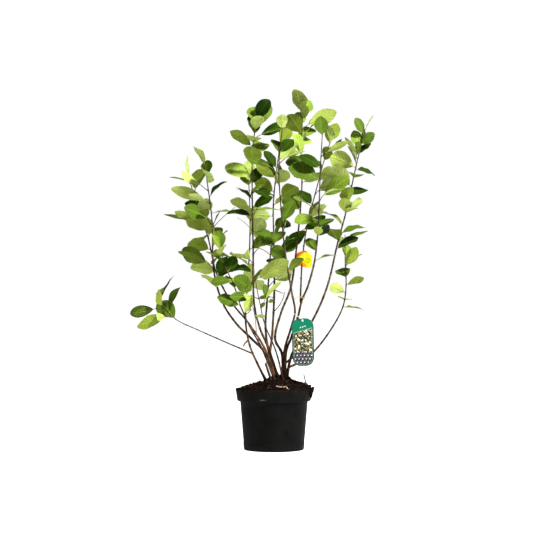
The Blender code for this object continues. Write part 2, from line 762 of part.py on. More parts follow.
def label_outline():
    """The plate's outline with its four wide round corners, as (across, up) pairs."""
    half_width, half_height = LABEL_SIZE[0] / 2, LABEL_SIZE[1] / 2
    outline = []
    for centre_x, centre_z, first in ((1, 1, 0), (-1, 1, 90), (-1, -1, 180), (1, -1, 270)):
        for step in range(6):
            angle = math.radians(first + 90 * step / 5)
            across = centre_x * (half_width - LABEL_CORNER) + LABEL_CORNER * math.cos(angle)
            up = centre_z * (half_height - LABEL_CORNER) + LABEL_CORNER * math.sin(angle)
            outline.append((across, up))
    return outline


def label_point(across, up, depth):
    """A place on the label in the plant's own axes: the plate stands upright, tilted a little."""
    cos, sin = math.cos(LABEL_TILT), math.sin(LABEL_TILT)
    x = LABEL_CENTRE[0] + across * cos - up * sin
    z = LABEL_CENTRE[2] + across * sin + up * cos
    return (x, LABEL_CENTRE[1] + depth, z)


def make_care_label():
    """A stiff plastic plate with round corners and a punched hole near the top."""
    outline = label_outline()
    thick = LABEL_SIZE[2] / 2
    count = len(outline)
    points = [label_point(a, u, d) for d in (-thick, thick) for a, u in outline]
    faces = [tuple(range(count)), tuple(range(2 * count - 1, count - 1, -1))]
    faces += [(k, k + count, (k + 1) % count + count, (k + 1) % count) for k in range(count)]
    label = add_object("care_label", mesh_of("care_label", points, faces), "care_label")
    up = LABEL_SIZE[1] / 2 - LABEL_HOLE_DROP
    bpy.ops.mesh.primitive_cylinder_add(
        vertices=12,
        radius=LABEL_HOLE_RADIUS,
        depth=LABEL_SIZE[2] * 6,
        location=label_point(0.0, up, 0.0),
        rotation=(math.pi / 2, 0.0, 0.0),
    )
    join_or_cut(label, [bpy.context.object], "DIFFERENCE")


def ring_ellipse(half_depth):
    """A slanting ring that hangs in the top of the label's hole and passes in front of the plate."""
    rise = LABEL_SIZE[1] / 2 - LABEL_HOLE_DROP + LABEL_HOLE_RADIUS - RING_WIRE - RING_SEAT
    hole = np.array(label_point(0.0, rise, 0.0))
    way = unit(np.array(RING_WAY))
    lift = (half_depth - RING_FRONT) / half_depth
    centre = hole + way * RING_HALF_LENGTH * math.sqrt(1 - lift**2)
    centre[1] = hole[1] + half_depth - RING_FRONT
    back = np.array((0.0, 1.0, 0.0))
    angles = np.arange(RING_STEPS)[:, None] * 2 * math.pi / RING_STEPS
    return centre + way * RING_HALF_LENGTH * np.cos(angles) + back * half_depth * np.sin(angles)


def ring_path():
    """The ring is as deep as it takes to pass close behind its stem."""
    shoot = next(s for s in SHOOTS if s.name == RING_SHOOT)
    curve = curve_of(shoot)
    shares = np.linspace(0.1, 0.4, 600)
    stem = np.array([curve.at(share) for share in shares])
    wide = np.array([radius_at(shoot, curve, share) for share in shares]) + RING_WIRE
    for half_depth in np.arange(0.0120, 0.0240, 0.0002):
        path = ring_ellipse(half_depth)
        behind = path[path[:, 1] > path[:, 1].mean()]
        gaps = np.linalg.norm(behind[:, None] - stem[None], axis=2) - wide
        nearest = np.unravel_index(gaps.argmin(), gaps.shape)
        if gaps.min() > 2 * CLEARANCE and behind[nearest[0], 1] > stem[nearest[1], 1]:
            return path
    return path


def make_label_ring():
    path = ring_path()
    points, faces = tube_parts(path, [RING_WIRE] * len(path), 6, closed=True)
    ring = add_object("label_ring", mesh_of("label_ring", points, faces), "wire")
    shade(ring, 60.0)


def band_parts():
    """A paper band bent into a flat loop round its bough, hanging forward with the bough in its back."""
    shoot = next(s for s in SHOOTS if s.name == BAND_SHOOT)
    curve = curve_of(shoot)
    axis = curve.tangent(BAND_SHARE)
    across = turned(unit(np.cross((0.0, 1.0, 0.0), axis)), axis, BAND_TURN)
    depth = np.cross(axis, across)
    room = BAND_HALF_DEPTH - BAND_THICKNESS - radius_at(shoot, curve, BAND_SHARE) - BAND_SEAT
    centre = curve.at(BAND_SHARE) + across * BAND_SHIFT - depth * room
    sides = 22
    points = []
    for grow, top in ((0.0, 0), (0.0, 1), (-BAND_THICKNESS, 1), (-BAND_THICKNESS, 0)):
        for k in range(sides):
            angle = 2 * math.pi * k / sides
            wide = across * (BAND_HALF_WIDTH + grow) * math.cos(angle)
            deep = depth * (BAND_HALF_DEPTH + grow) * math.sin(angle)
            points.append(centre + wide + deep + axis * BAND_HEIGHT * (top - 0.5))
    faces = []
    for ring in range(4):
        a, b = ring * sides, (ring + 1) % 4 * sides
        faces += [(a + k, a + (k + 1) % sides, b + (k + 1) % sides, b + k) for k in range(sides)]
    return points, faces


def make_paper_band():
    band = add_object("paper_band", mesh_of("paper_band", *band_parts()), "paper_band")
    shade(band, 40.0)


def made_things(crowd):
    """The labels' rough shapes, so that no leaf grows into them."""
    points, faces = band_parts()
    crowd.add("paper_band", (points, faces))
    path = ring_path()
    crowd.add("label_ring", tube_parts(path, [RING_WIRE] * len(path), 6, closed=True))
    outline = label_outline()
    plate = [label_point(a, u, 0.0) for a, u in outline]
    crowd.add("care_label", (plate, [tuple(range(len(plate)))]))


def main():
    clear_scene()
    crowd = Crowd()
    made_things(crowd)
    make_pot()
    make_soil()
    make_plant(grow_plant(crowd))
    make_care_label()
    make_label_ring()
    make_paper_band()


if __name__ == "__main__":
    main()
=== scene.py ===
"""The look of a potted chokeberry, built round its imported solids.

The frame holds the solids at their real size. Each section below builds one part of the real
object as a surface worked out from a formula, gives it its finish, and sets it on the frame.
Metres, +Z up, the front faces -Y.
"""

# %% [markdown]
# # A potted chokeberry
#
# A young shrub in a five litre nursery pot: thirteen thin stems fan out of one clump, carry
# oval leaves up their upper halves, and stand in a mound of dark peat. A care label hangs in
# front and a bright paper band is looped round one bough.
#
# The solids say where everything is. This lesson takes their places, writes the plant's
# growing rule again, and builds the fine surfaces: bark with buds, thin folded leaves, peat
# with crumbs and fibres, the moulded pot, and the printed label.

import json
import math
from collections import namedtuple

import bmesh
import bpy
import numpy as np
from mathutils.bvhtree import BVHTree
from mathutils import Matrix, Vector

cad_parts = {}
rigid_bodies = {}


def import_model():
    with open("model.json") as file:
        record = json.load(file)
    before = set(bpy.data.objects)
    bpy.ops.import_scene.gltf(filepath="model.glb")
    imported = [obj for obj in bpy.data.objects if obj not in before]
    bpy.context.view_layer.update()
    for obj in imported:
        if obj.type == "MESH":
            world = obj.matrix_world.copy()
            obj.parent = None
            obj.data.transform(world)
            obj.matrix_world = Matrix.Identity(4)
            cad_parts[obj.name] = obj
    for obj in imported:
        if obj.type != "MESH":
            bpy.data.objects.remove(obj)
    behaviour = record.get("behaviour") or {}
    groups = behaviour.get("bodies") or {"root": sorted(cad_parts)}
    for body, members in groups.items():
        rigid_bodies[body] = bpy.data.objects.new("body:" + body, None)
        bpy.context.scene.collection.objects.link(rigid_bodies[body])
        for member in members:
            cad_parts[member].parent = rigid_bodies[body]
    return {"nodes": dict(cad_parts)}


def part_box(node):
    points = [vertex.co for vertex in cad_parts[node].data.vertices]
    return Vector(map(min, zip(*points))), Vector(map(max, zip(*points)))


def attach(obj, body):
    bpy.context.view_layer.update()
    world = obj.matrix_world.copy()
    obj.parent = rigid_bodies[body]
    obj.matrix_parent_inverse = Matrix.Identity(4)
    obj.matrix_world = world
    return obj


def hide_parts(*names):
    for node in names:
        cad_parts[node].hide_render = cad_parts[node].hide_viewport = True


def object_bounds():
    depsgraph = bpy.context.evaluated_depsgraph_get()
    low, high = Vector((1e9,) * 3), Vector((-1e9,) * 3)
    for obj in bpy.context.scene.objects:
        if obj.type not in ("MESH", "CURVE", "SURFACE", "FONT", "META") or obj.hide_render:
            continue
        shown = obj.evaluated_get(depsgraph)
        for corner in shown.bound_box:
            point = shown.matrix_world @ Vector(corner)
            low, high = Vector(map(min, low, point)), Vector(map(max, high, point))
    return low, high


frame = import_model()
low_at_start, high_at_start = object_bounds()
nodes = frame["nodes"]
print("nodes:", len(nodes), " height of the frame:", round(high_at_start[2], 4))

# %% [markdown]
# ## Tools for surfaces
#
# Every surface here is a grid of points: rows along it and columns across it. A heap gathers
# many grids into one mesh, which is how two hundred leaves become a few pieces. They could
# be single objects, but a joined mesh made from arrays is far quicker to build and to draw.
# Points that lie on one another, such as a grid's seam or its two edges at a leaf's margin,
# are welded at the end, so each surface closes.

# %% Heaps of grids
WELD = 1e-6


class Heap:
    """Grids of points gathered into one mesh, each with a UV map and a material number."""

    def __init__(self):
        self.points, self.faces, self.uvs, self.kinds = [], [], [], []
        self.count = 0

    def add(self, grid, ring=False, flip=False, kind=0):
        """A grid of (rows, columns, 3) points. A ring's last column joins its first."""
        rows, columns = grid.shape[:2]
        index = self.count + np.arange(rows * columns).reshape(rows, columns)
        if ring:
            index = np.hstack([index, index[:, :1]])
        corners = [index[:-1, :-1], index[:-1, 1:], index[1:, 1:], index[1:, :-1]]
        across = np.linspace(0, 1, index.shape[1])
        along = np.linspace(0, 1, rows)
        u, v = np.meshgrid(across, along)
        uv = np.stack([u, v], axis=-1)
        places = [uv[:-1, :-1], uv[:-1, 1:], uv[1:, 1:], uv[1:, :-1]]
        if flip:  # the other way round from the same corner, so both split on one diagonal
            corners, places = corners[:1] + corners[:0:-1], places[:1] + places[:0:-1]
        quads = np.stack([c.ravel() for c in corners], axis=1)
        self.points.append(grid.reshape(-1, 3))
        self.faces.append(quads)
        self.uvs.append(np.stack([p.reshape(-1, 2) for p in places], axis=1).reshape(-1, 2))
        self.kinds.append(np.full(len(quads), kind))
        self.count += rows * columns

    def piece(self, name, materials, slot, stands_for=(), crease=50.0):
        """The heap as one welded, smooth object that rides on the frame."""
        points, faces = np.vstack(self.points), np.vstack(self.faces)
        mesh = bpy.data.meshes.new(name)
        mesh.vertices.add(len(points))
        mesh.vertices.foreach_set("co", points.astype(np.float32).ravel())
        mesh.loops.add(faces.size)
        mesh.loops.foreach_set("vertex_index", faces.astype(np.int32).ravel())
        mesh.polygons.add(len(faces))
        mesh.polygons.foreach_set("loop_start", np.arange(0, faces.size, 4, dtype=np.int32))
        mesh.polygons.foreach_set("material_index", np.concatenate(self.kinds).astype(np.int32))
        mesh.update(calc_edges=True)
        layer = mesh.uv_layers.new(name="UVMap")
        layer.uv.foreach_set("vector", np.vstack(self.uvs).astype(np.float32).ravel())
        weld(mesh)
        return set_piece(name, mesh, materials, stands_for, crease)


print("heaps ready")


# %% Weld a mesh and set it on the frame
def weld(mesh):
    """Joins points that lie on one another and drops the faces that this closes up."""
    work = bmesh.new()
    work.from_mesh(mesh)
    bmesh.ops.remove_doubles(work, verts=work.verts, dist=WELD)
    bmesh.ops.dissolve_degenerate(work, edges=work.edges, dist=WELD / 10)
    work.to_mesh(mesh)
    work.free()


def set_piece(name, mesh, materials, stands_for=(), crease=50.0):
    """The finished mesh as an object at the origin, smooth except at real creases."""
    for finish in materials:
        mesh.materials.append(finish)
    mesh.shade_smooth()
    mesh.set_sharp_from_angle(angle=math.radians(crease))
    thing = bpy.data.objects.new(name, mesh)
    bpy.context.scene.collection.objects.link(thing)
    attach(thing, "root")
    if stands_for:
        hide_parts(*stands_for)
    print(f"{name}: {len(mesh.polygons)} faces")
    return thing


print("points weld within", WELD, "m")

# %% [markdown]
# A tube is the shape that a plant needs most: stems, stalks, buds and fibres are all a ring
# carried along a path. A curve with a bevel would give one too, but a grid of rings also
# takes a relief, and its ends close to a point.

# %% Tubes
FIRST_SIDE = (0.31, 0.95, 0.05)  # a way that no path here runs along


def unit(vectors):
    """Vectors at length one, along the last axis."""
    return vectors / np.linalg.norm(vectors, axis=-1, keepdims=True)


def turned(vector, axis, angle):
    """The vector turned about a unit axis, by Rodrigues' formula."""
    across = np.cross(axis, vector)
    along = axis * np.dot(axis, vector)
    return vector * math.cos(angle) + across * math.sin(angle) + along * (1 - math.cos(angle))


def rings(path, radii, columns, relief=None):
    """A grid round a path: row i is a ring of radius r(i) held untwisted from the last.

    relief, where given, is an array of (rows, columns) that scales the radius.
    """
    path = np.asarray(path, float)
    ways = unit(np.gradient(path, axis=0))
    side = unit(np.cross(ways[0], FIRST_SIDE))
    sides = []
    for way in ways:
        side = unit(side - way * np.dot(side, way))
        sides.append(side)
    sides = np.array(sides)
    others = np.cross(ways, sides)
    angles = np.arange(columns) * 2 * math.pi / columns
    round_way = (
        sides[:, None] * np.cos(angles)[None, :, None]
        + others[:, None] * np.sin(angles)[None, :, None]
    )
    reach = np.asarray(radii, float)[:, None] * (1 if relief is None else relief)
    return path[:, None] + round_way * np.broadcast_to(reach, round_way.shape[:2])[..., None]


def closed_rings(path, radii, columns, relief=None):
    """The same, with a point at either end so that the ends are closed."""
    grid = rings(path, radii, columns, relief)
    first = np.broadcast_to(np.asarray(path[0], float), (1, columns, 3))
    last = np.broadcast_to(np.asarray(path[-1], float), (1, columns, 3))
    return np.concatenate([first, grid, last])


print("a ring is carried from way to way without a twist")

# %% [markdown]
# Unevenness comes from one function of hills: a small table of random heights, eased between
# its whole numbers, and added to itself at finer and finer steps. A noise texture would lift
# a mesh as well, but this one gives a height to any place that asks, such as a crumb's.


# %% Hills
def lattice_noise(x, y, seed, size=64):
    """Smooth random hills: a table of random heights at whole numbers, eased between them."""
    table = np.random.default_rng(seed).uniform(-1, 1, (size, size))
    whole_x, whole_y = np.floor(x).astype(int), np.floor(y).astype(int)
    part_x, part_y = x - whole_x, y - whole_y
    ease_x, ease_y = (3 - 2 * part_x) * part_x**2, (3 - 2 * part_y) * part_y**2

    def corner(step_x, step_y):
        return table[(whole_x + step_x) % size, (whole_y + step_y) % size]

    near = corner(0, 0) * (1 - ease_x) + corner(1, 0) * ease_x
    far = corner(0, 1) * (1 - ease_x) + corner(1, 1) * ease_x
    return near * (1 - ease_y) + far * ease_y


def rough_noise(x, y, seed, octaves=4):
    """Hills on hills: each octave is twice as fine and half as high."""
    total = np.zeros(np.broadcast(x, y).shape)
    for octave in range(octaves):
        total = total + lattice_noise(x * 2**octave, y * 2**octave, seed + octave) / 2**octave
    return total


print("a hill at the origin:", round(float(rough_noise(np.zeros(1), np.zeros(1), 1)[0]), 3))

# %% [markdown]
# ## Tools for finishes
#
# A material is a formula too. Its nodes could be wired one by one, but then the formula is
# hard to read back. This small class wraps a socket of the node tree, so that a plus or a
# times in the code adds the Math node that does it. Colours are mixed, and every other kind
# of node comes from one method.

# %% Shader formulas
class Value:
    """A socket of a node tree. Arithmetic on it adds Math nodes."""

    def __init__(self, tree, socket):
        self.tree, self.socket = tree, socket

    def maths(self, operation, *others):
        """A Math node on this socket and up to two others."""
        node = self.tree.nodes.new("ShaderNodeMath")
        node.operation = operation
        for place, value in zip(node.inputs, (self, *others)):
            connect(self.tree, place, value)
        return Value(self.tree, node.outputs[0])

    def __add__(self, other):
        return self.maths("ADD", other)

    def __sub__(self, other):
        return self.maths("SUBTRACT", other)

    def __rsub__(self, other):
        return (self * -1.0).maths("ADD", other)

    def __mul__(self, other):
        return self.maths("MULTIPLY", other)

    def __truediv__(self, other):
        return self.maths("DIVIDE", other)

    def __pow__(self, other):
        return self.maths("POWER", other)

    __radd__ = __add__
    __rmul__ = __mul__

    def size(self):
        """The value without its sign."""
        return self.maths("ABSOLUTE")

    def most(self, other):
        """The greater of two values."""
        return self.maths("MAXIMUM", other)

    def rise(self, start, end):
        """0 before start and 1 after end, eased between; falls where start is above end."""
        node = self.tree.nodes.new("ShaderNodeMapRange")
        node.interpolation_type = "SMOOTHSTEP"
        low, high = min(start, end), max(start, end)
        connect(self.tree, node.inputs["Value"], self)
        node.inputs["From Min"].default_value = low
        node.inputs["From Max"].default_value = high
        node.inputs["To Min"].default_value = 0.0 if start < end else 1.0
        node.inputs["To Max"].default_value = 1.0 if start < end else 0.0
        return Value(self.tree, node.outputs["Result"])


def connect(tree, place, value):
    """Links a socket, or sets a plain number, vector or colour."""
    if isinstance(value, Value):
        tree.links.new(value.socket, place)
    elif isinstance(value, (tuple, list)) and len(value) == 3 and place.type == "RGBA":
        place.default_value = (*value, 1.0)
    else:
        place.default_value = value


print("sums on sockets ready")


# %% Finishes
class Finish:
    """One material: its Principled shader, and the nodes that feed it."""

    def __init__(self, name):
        self.material = bpy.data.materials.new(name)
        self.material.use_nodes = True
        self.tree = self.material.node_tree
        self.shader = self.tree.nodes["Principled BSDF"]

    def feed(self, **inputs):
        """Sets the shader's inputs, named in small letters."""
        for name, value in inputs.items():
            label = name.replace("_", " ").title().replace("Ior", "IOR")
            connect(self.tree, self.shader.inputs[label], value)
        return self

    def node(self, kind, output=0, settings=None, **inputs):
        """A new node of a kind, with its settings and inputs, read at one of its outputs."""
        made = self.tree.nodes.new("ShaderNode" + kind)
        for name, value in (settings or {}).items():
            setattr(made, name, value)
        for name, value in inputs.items():
            connect(self.tree, made.inputs[name.replace("_", " ")], value)
        return Value(self.tree, made.outputs[output])

    def place(self):
        """The point's own place in metres, since every piece sits at the origin."""
        return self.node("TexCoord", "Object")

    def split(self, vector):
        """The x, y and z of a vector."""
        made = self.tree.nodes.new("ShaderNodeSeparateXYZ")
        connect(self.tree, made.inputs[0], vector)
        return [Value(self.tree, socket) for socket in made.outputs]

    def join(self, x, y, z):
        """A vector from x, y and z."""
        return self.node("CombineXYZ", X=x, Y=y, Z=z)

    def map_place(self):
        """Across and along a grid, both from 0 to 1."""
        return self.split(self.node("UVMap", settings={"uv_map": "UVMap"}))[:2]

    def noise(self, at, scale, detail=3.0, roughness=0.55):
        """Clouds from 0 to 1, where scale counts them for each metre."""
        sockets = {"Vector": at, "Scale": scale, "Detail": detail, "Roughness": roughness}
        return self.node("TexNoise", "Fac", **sockets)

    def cells(self, at, scale):
        """How far a point lies from the middle of its cell."""
        return self.node("TexVoronoi", "Distance", Vector=at, Scale=scale, Randomness=1.0)

    def mix(self, share, first, second):
        """The first colour where share is 0 and the second where it is 1."""
        made = self.tree.nodes.new("ShaderNodeMix")
        made.data_type = "RGBA"
        connect(self.tree, made.inputs["Factor"], share)
        connect(self.tree, made.inputs[6], first)
        connect(self.tree, made.inputs[7], second)
        return Value(self.tree, made.outputs[2])

    def bump(self, height, strength, distance):
        """Relief that bends the light and leaves the surface where it is."""
        self.feed(normal=self.node("Bump", Height=height, Strength=strength, Distance=distance))
        return self


print("one class wires every finish")


# %% A plain speckled finish
def speckled(name, scale, detail, first, second, rough, relief=None, span=None):
    """A finish for a small piece: one noise mixes two colours, roughens it and lifts it.

    rough is what the noise adds and the least; relief is its strength and its distance; span
    is the stretch of the noise over which the colours change.
    """
    finish = Finish(name)
    cloud = finish.noise(finish.place(), scale, detail)
    colour = finish.mix(cloud.rise(*span) if span else cloud, first, second)
    finish.feed(base_color=colour, roughness=cloud * rough[0] + rough[1])
    if relief:
        finish.bump(cloud, *relief)
    return finish.material


print("speckled serves the small pieces: buds, fibres, root, wire and string")

# %% [markdown]
# ## The plant's growing rule
#
# A chokeberry sends up several stems from one foot. Leaves follow one another round each
# stem at the golden angle, and some stand in pairs on short side twigs. They could be set by
# hand or strewn by a particle system, but the solids already follow a rule, and the same
# rule with the same seeds gives the same leaves again here.
#
# A shoot is a smooth route through a few points. Its lower part is bare and its upper part
# is cut into masses, each with its own seed.

# %% Shoots of the plant
FOOT_HEIGHT = float(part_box("stem_tallest")[0][2])
CLEARANCE = 0.0003
FLARE = 0.45
FLARE_REACH = 0.016
TAPER_POWER = 0.8
STEPS_PER_POINT = 16
TANGENT_REACH = 0.004
PARENT_SAMPLES = 400

LEAF_TURN = math.radians(137.5)
TURN_SPREAD = math.radians(22.0)
LEAN_RANGE = (math.radians(38.0), math.radians(82.0))
TOP_LEAN_SHARE = 0.55
LAST_LEAN_SHARE = 0.22
LAST_LEAF_DROP = 0.003
ROLL_SPREAD = math.radians(42.0)
CURL_RANGE = (0.10, 0.85)
FOLD_RANGE = (math.radians(6.0), math.radians(26.0))
SIZE_RANGE = (0.78, 1.06)
WIDTH_SHARE = (0.56, 0.76)
STALK_SHARE = 0.11
SPUR_SHARE = 0.30
SPUR_RANGE = (0.012, 0.030)
SPUR_PAIR_TURN = math.radians(70.0)
SPUR_LEANS = (0.5, 0.9)
SECOND_SIZE = 0.85
NODES_PER_LEAF = 0.80
FIRST_NODE = 0.4
END_MARGIN = 0.004
TOP_SIZE_LOSS = 0.12
LEAF_PROFILE = ((0.34, 0.86), (0.68, 0.94))
TURN_TRIES = 4
TRY_TURN = math.radians(31.0)

Mass = namedtuple("Mass", "name start end leaves length seed")
Shoot = namedtuple("Shoot", "name route foot_width tip_width masses parent")

print("leaf turn:", round(math.degrees(LEAF_TURN), 1), " foot height:", round(FOOT_HEIGHT, 4))

# %% Every shoot and its masses
# A route's points are (x, y, height); a shoot with a parent starts beside that shoot. A mass
# has the shares of the shoot's length where it starts and ends, its number of leaves and
# their length.
SHOOTS = (
    Shoot(
        "left_arching",
        ((0.003, -0.003, FOOT_HEIGHT), (-0.021, -0.018, 0.278), (-0.069, -0.030, 0.329),
         (-0.112, -0.040, 0.373), (-0.151, -0.050, 0.436), (-0.175, -0.065, 0.532),
         (-0.179, -0.080, 0.673), (-0.199, -0.100, 0.828)),
        0.0085, 0.0028,
        (Mass("low", 0.45, 0.63, 5, 0.083, 6343), Mass("middle", 0.63, 0.82, 5, 0.070, 3782),
         Mass("top", 0.82, 1.0, 8, 0.076, 3116)),
        None,
    ),
    Shoot(
        "left_rear",
        ((0.000, 0.020, FOOT_HEIGHT), (-0.024, 0.019, 0.288), (-0.071, 0.030, 0.364),
         (-0.124, 0.040, 0.429), (-0.170, 0.050, 0.515), (-0.196, 0.070, 0.622),
         (-0.234, 0.090, 0.736), (-0.256, 0.100, 0.805)),
        0.0075, 0.0026,
        (Mass("low", 0.50, 0.74, 9, 0.080, 3456), Mass("top", 0.74, 1.0, 7, 0.080, 818)),
        None,
    ),
    Shoot(
        "left_front",
        ((0.001, -0.028, FOOT_HEIGHT), (-0.035, -0.040, 0.297), (-0.068, -0.060, 0.358),
         (-0.094, -0.090, 0.417), (-0.114, -0.120, 0.480), (-0.137, -0.140, 0.532),
         (-0.152, -0.160, 0.583)),
        0.0065, 0.0024,
        (Mass("leaves", 0.48, 1.0, 10, 0.066, 3245),),
        None,
    ),
    Shoot(
        "left_upright",
        ((-0.027, 0.000, FOOT_HEIGHT), (-0.047, 0.004, 0.248), (-0.072, 0.020, 0.306),
         (-0.084, 0.040, 0.379), (-0.080, 0.065, 0.473), (-0.073, 0.090, 0.586),
         (-0.072, 0.115, 0.692), (-0.076, 0.140, 0.792)),
        0.0070, 0.0026,
        (Mass("low", 0.38, 0.70, 5, 0.083, 6496), Mass("top", 0.70, 1.0, 6, 0.070, 6267)),
        None,
    ),
    Shoot(
        "middle_left",
        ((0.013, -0.018, FOOT_HEIGHT), (-0.016, -0.045, 0.298), (-0.042, -0.060, 0.361),
         (-0.058, -0.070, 0.437), (-0.060, -0.090, 0.584), (-0.062, -0.110, 0.727),
         (-0.061, -0.130, 0.869), (-0.047, -0.140, 0.956)),
        0.0080, 0.0026,
        (Mass("low", 0.34, 0.56, 8, 0.080, 4629), Mass("middle", 0.56, 0.76, 8, 0.070, 7336),
         Mass("upper", 0.76, 0.90, 4, 0.086, 5582), Mass("top", 0.90, 1.0, 8, 0.080, 383)),
        None,
    ),
    Shoot(
        "middle_front",
        ((0.026, -0.031, FOOT_HEIGHT), (0.006, -0.055, 0.289), (-0.026, -0.090, 0.368),
         (-0.040, -0.125, 0.430), (-0.051, -0.160, 0.486)),
        0.0055, 0.0022,
        (Mass("leaves", 0.58, 1.0, 5, 0.064, 1483),),
        None,
    ),
    Shoot(
        "middle_short",
        ((0.013, 0.012, FOOT_HEIGHT), (-0.015, 0.036, 0.285), (-0.025, 0.060, 0.355),
         (-0.021, 0.085, 0.428), (-0.014, 0.120, 0.527), (-0.006, 0.160, 0.636)),
        0.0090, 0.0034,
        (Mass("leaves", 0.60, 1.0, 9, 0.058, 4148),),
        None,
    ),
    Shoot(
        "middle_rear",
        ((0.008, 0.033, FOOT_HEIGHT), (-0.013, 0.040, 0.255), (-0.005, 0.070, 0.340),
         (0.001, 0.100, 0.467), (0.000, 0.140, 0.602), (-0.002, 0.170, 0.724),
         (0.009, 0.200, 0.838), (0.021, 0.220, 0.925)),
        0.0085, 0.0026,
        (Mass("middle", 0.48, 0.76, 8, 0.081, 8714), Mass("top", 0.76, 1.0, 9, 0.074, 9782)),
        None,
    ),
    Shoot(
        "tallest",
        ((0.027, 0.023, FOOT_HEIGHT), (0.023, 0.006, 0.280), (0.003, 0.006, 0.327),
         (0.021, 0.000, 0.401), (0.051, -0.010, 0.483), (0.069, -0.020, 0.620),
         (0.081, -0.020, 0.760), (0.080, -0.015, 0.877), (0.084, -0.010, 0.986)),
        0.0085, 0.0028,
        (Mass("middle", 0.52, 0.72, 3, 0.079, 3399), Mass("upper", 0.72, 0.88, 4, 0.079, 6008),
         Mass("top", 0.88, 1.0, 9, 0.076, 2472)),
        None,
    ),
    Shoot(
        "middle_right",
        ((0.022, -0.004, FOOT_HEIGHT), (0.031, -0.025, 0.293), (0.049, -0.040, 0.355),
         (0.061, -0.055, 0.405), (0.051, -0.075, 0.463), (0.032, -0.110, 0.578),
         (0.020, -0.150, 0.702), (0.014, -0.180, 0.814), (0.023, -0.200, 0.923)),
        0.0080, 0.0026,
        (Mass("low", 0.42, 0.62, 5, 0.052, 2800), Mass("middle", 0.62, 0.81, 5, 0.075, 8335),
         Mass("top", 0.81, 1.0, 6, 0.060, 4887)),
        None,
    ),
    Shoot(
        "right_forked",
        ((0.032, -0.019, FOOT_HEIGHT), (0.035, -0.030, 0.285), (0.051, -0.035, 0.331),
         (0.070, -0.030, 0.390), (0.081, -0.025, 0.436), (0.099, -0.040, 0.480),
         (0.117, -0.060, 0.549), (0.126, -0.080, 0.627), (0.130, -0.100, 0.719),
         (0.133, -0.115, 0.818), (0.138, -0.130, 0.909)),
        0.0085, 0.0026,
        (Mass("low", 0.48, 0.68, 6, 0.065, 1774), Mass("middle", 0.68, 0.85, 5, 0.088, 9069),
         Mass("top", 0.85, 1.0, 4, 0.071, 1579)),
        None,
    ),
    Shoot(
        "right_fork_bough",
        ((0.080, -0.025, 0.432), (0.079, 0.000, 0.483), (0.084, 0.030, 0.562),
         (0.099, 0.060, 0.660), (0.126, 0.090, 0.765), (0.151, 0.115, 0.857),
         (0.170, 0.130, 0.912)),
        0.0050, 0.0026,
        (Mass("middle", 0.45, 0.74, 6, 0.066, 4741), Mass("top", 0.74, 1.0, 6, 0.061, 2351)),
        "right_forked",
    ),
    Shoot(
        "right_arching",
        ((0.037, -0.003, FOOT_HEIGHT), (0.050, -0.005, 0.272), (0.076, -0.010, 0.322),
         (0.121, -0.015, 0.394), (0.158, -0.020, 0.486), (0.185, -0.030, 0.602),
         (0.212, -0.040, 0.704), (0.234, -0.050, 0.808), (0.262, -0.060, 0.929)),
        0.0085, 0.0026,
        (Mass("middle", 0.52, 0.70, 7, 0.076, 4400), Mass("upper", 0.70, 0.86, 6, 0.080, 1003),
         Mass("top", 0.86, 1.0, 9, 0.065, 477)),
        None,
    ),
    Shoot(
        "right_low",
        ((0.035, 0.011, FOOT_HEIGHT), (0.042, 0.018, 0.237), (0.067, 0.030, 0.250),
         (0.121, 0.045, 0.288), (0.173, 0.060, 0.356), (0.205, 0.075, 0.417),
         (0.215, 0.090, 0.479), (0.213, 0.105, 0.551), (0.213, 0.120, 0.626)),
        0.0075, 0.0024,
        (Mass("low", 0.55, 0.80, 7, 0.068, 4014), Mass("top", 0.80, 1.0, 5, 0.062, 7937)),
        None,
    ),
    Shoot(
        "low_left_bough",
        ((-0.064, 0.011, 0.281), (-0.099, -0.020, 0.297), (-0.137, -0.035, 0.314),
         (-0.218, -0.060, 0.351), (-0.280, -0.075, 0.381), (-0.317, -0.085, 0.418),
         (-0.337, -0.090, 0.454)),
        0.0048, 0.0022,
        (Mass("leaves", 0.72, 1.0, 9, 0.080, 2021),),
        "left_upright",
    ),
)
print("shoots:", len(SHOOTS), " leaves planned:", sum(m.leaves for s in SHOOTS for m in s.masses))

# %% Routes and tapers
class Route:
    """A smooth route through a shoot's points (Catmull-Rom), read by the share of its length."""

    def __init__(self, points):
        points = np.array(points, float)
        padded = np.vstack([2 * points[0] - points[1], points, 2 * points[-1] - points[-2]])
        share = np.linspace(0, 1, STEPS_PER_POINT, endpoint=False)[:, None]
        pieces = []
        for p0, p1, p2, p3 in zip(padded, padded[1:], padded[2:], padded[3:]):
            slope, bend = p2 - p0, 2 * p0 - 5 * p1 + 4 * p2 - p3
            turn = 3 * p1 - p0 - 3 * p2 + p3
            pieces.append(0.5 * (2 * p1 + slope * share + bend * share**2 + turn * share**3))
        self.points = np.vstack(pieces + [points[-1:]])
        steps = np.linalg.norm(np.diff(self.points, axis=0), axis=1)
        self.run = np.concatenate([[0.0], np.cumsum(steps)])
        self.length = self.run[-1]

    def at(self, share):
        """The place at a share, or at each of an array of shares."""
        where = np.asarray(share) * self.length
        return np.stack([np.interp(where, self.run, self.points[:, k]) for k in range(3)], axis=-1)

    def tangent(self, share):
        """The route's own way at a share."""
        reach = TANGENT_REACH / self.length
        return unit(self.at(min(share + reach, 1.0)) - self.at(max(share - reach, 0.0)))


def radius_at(shoot, route, share):
    """Half the width at a share: an even taper, with a flare where a stem meets the soil."""
    radius = (shoot.foot_width + (shoot.tip_width - shoot.foot_width) * share**TAPER_POWER) / 2
    if shoot.parent is None:
        radius = radius * (1 + FLARE * np.exp(-share * route.length / FLARE_REACH))
    return radius


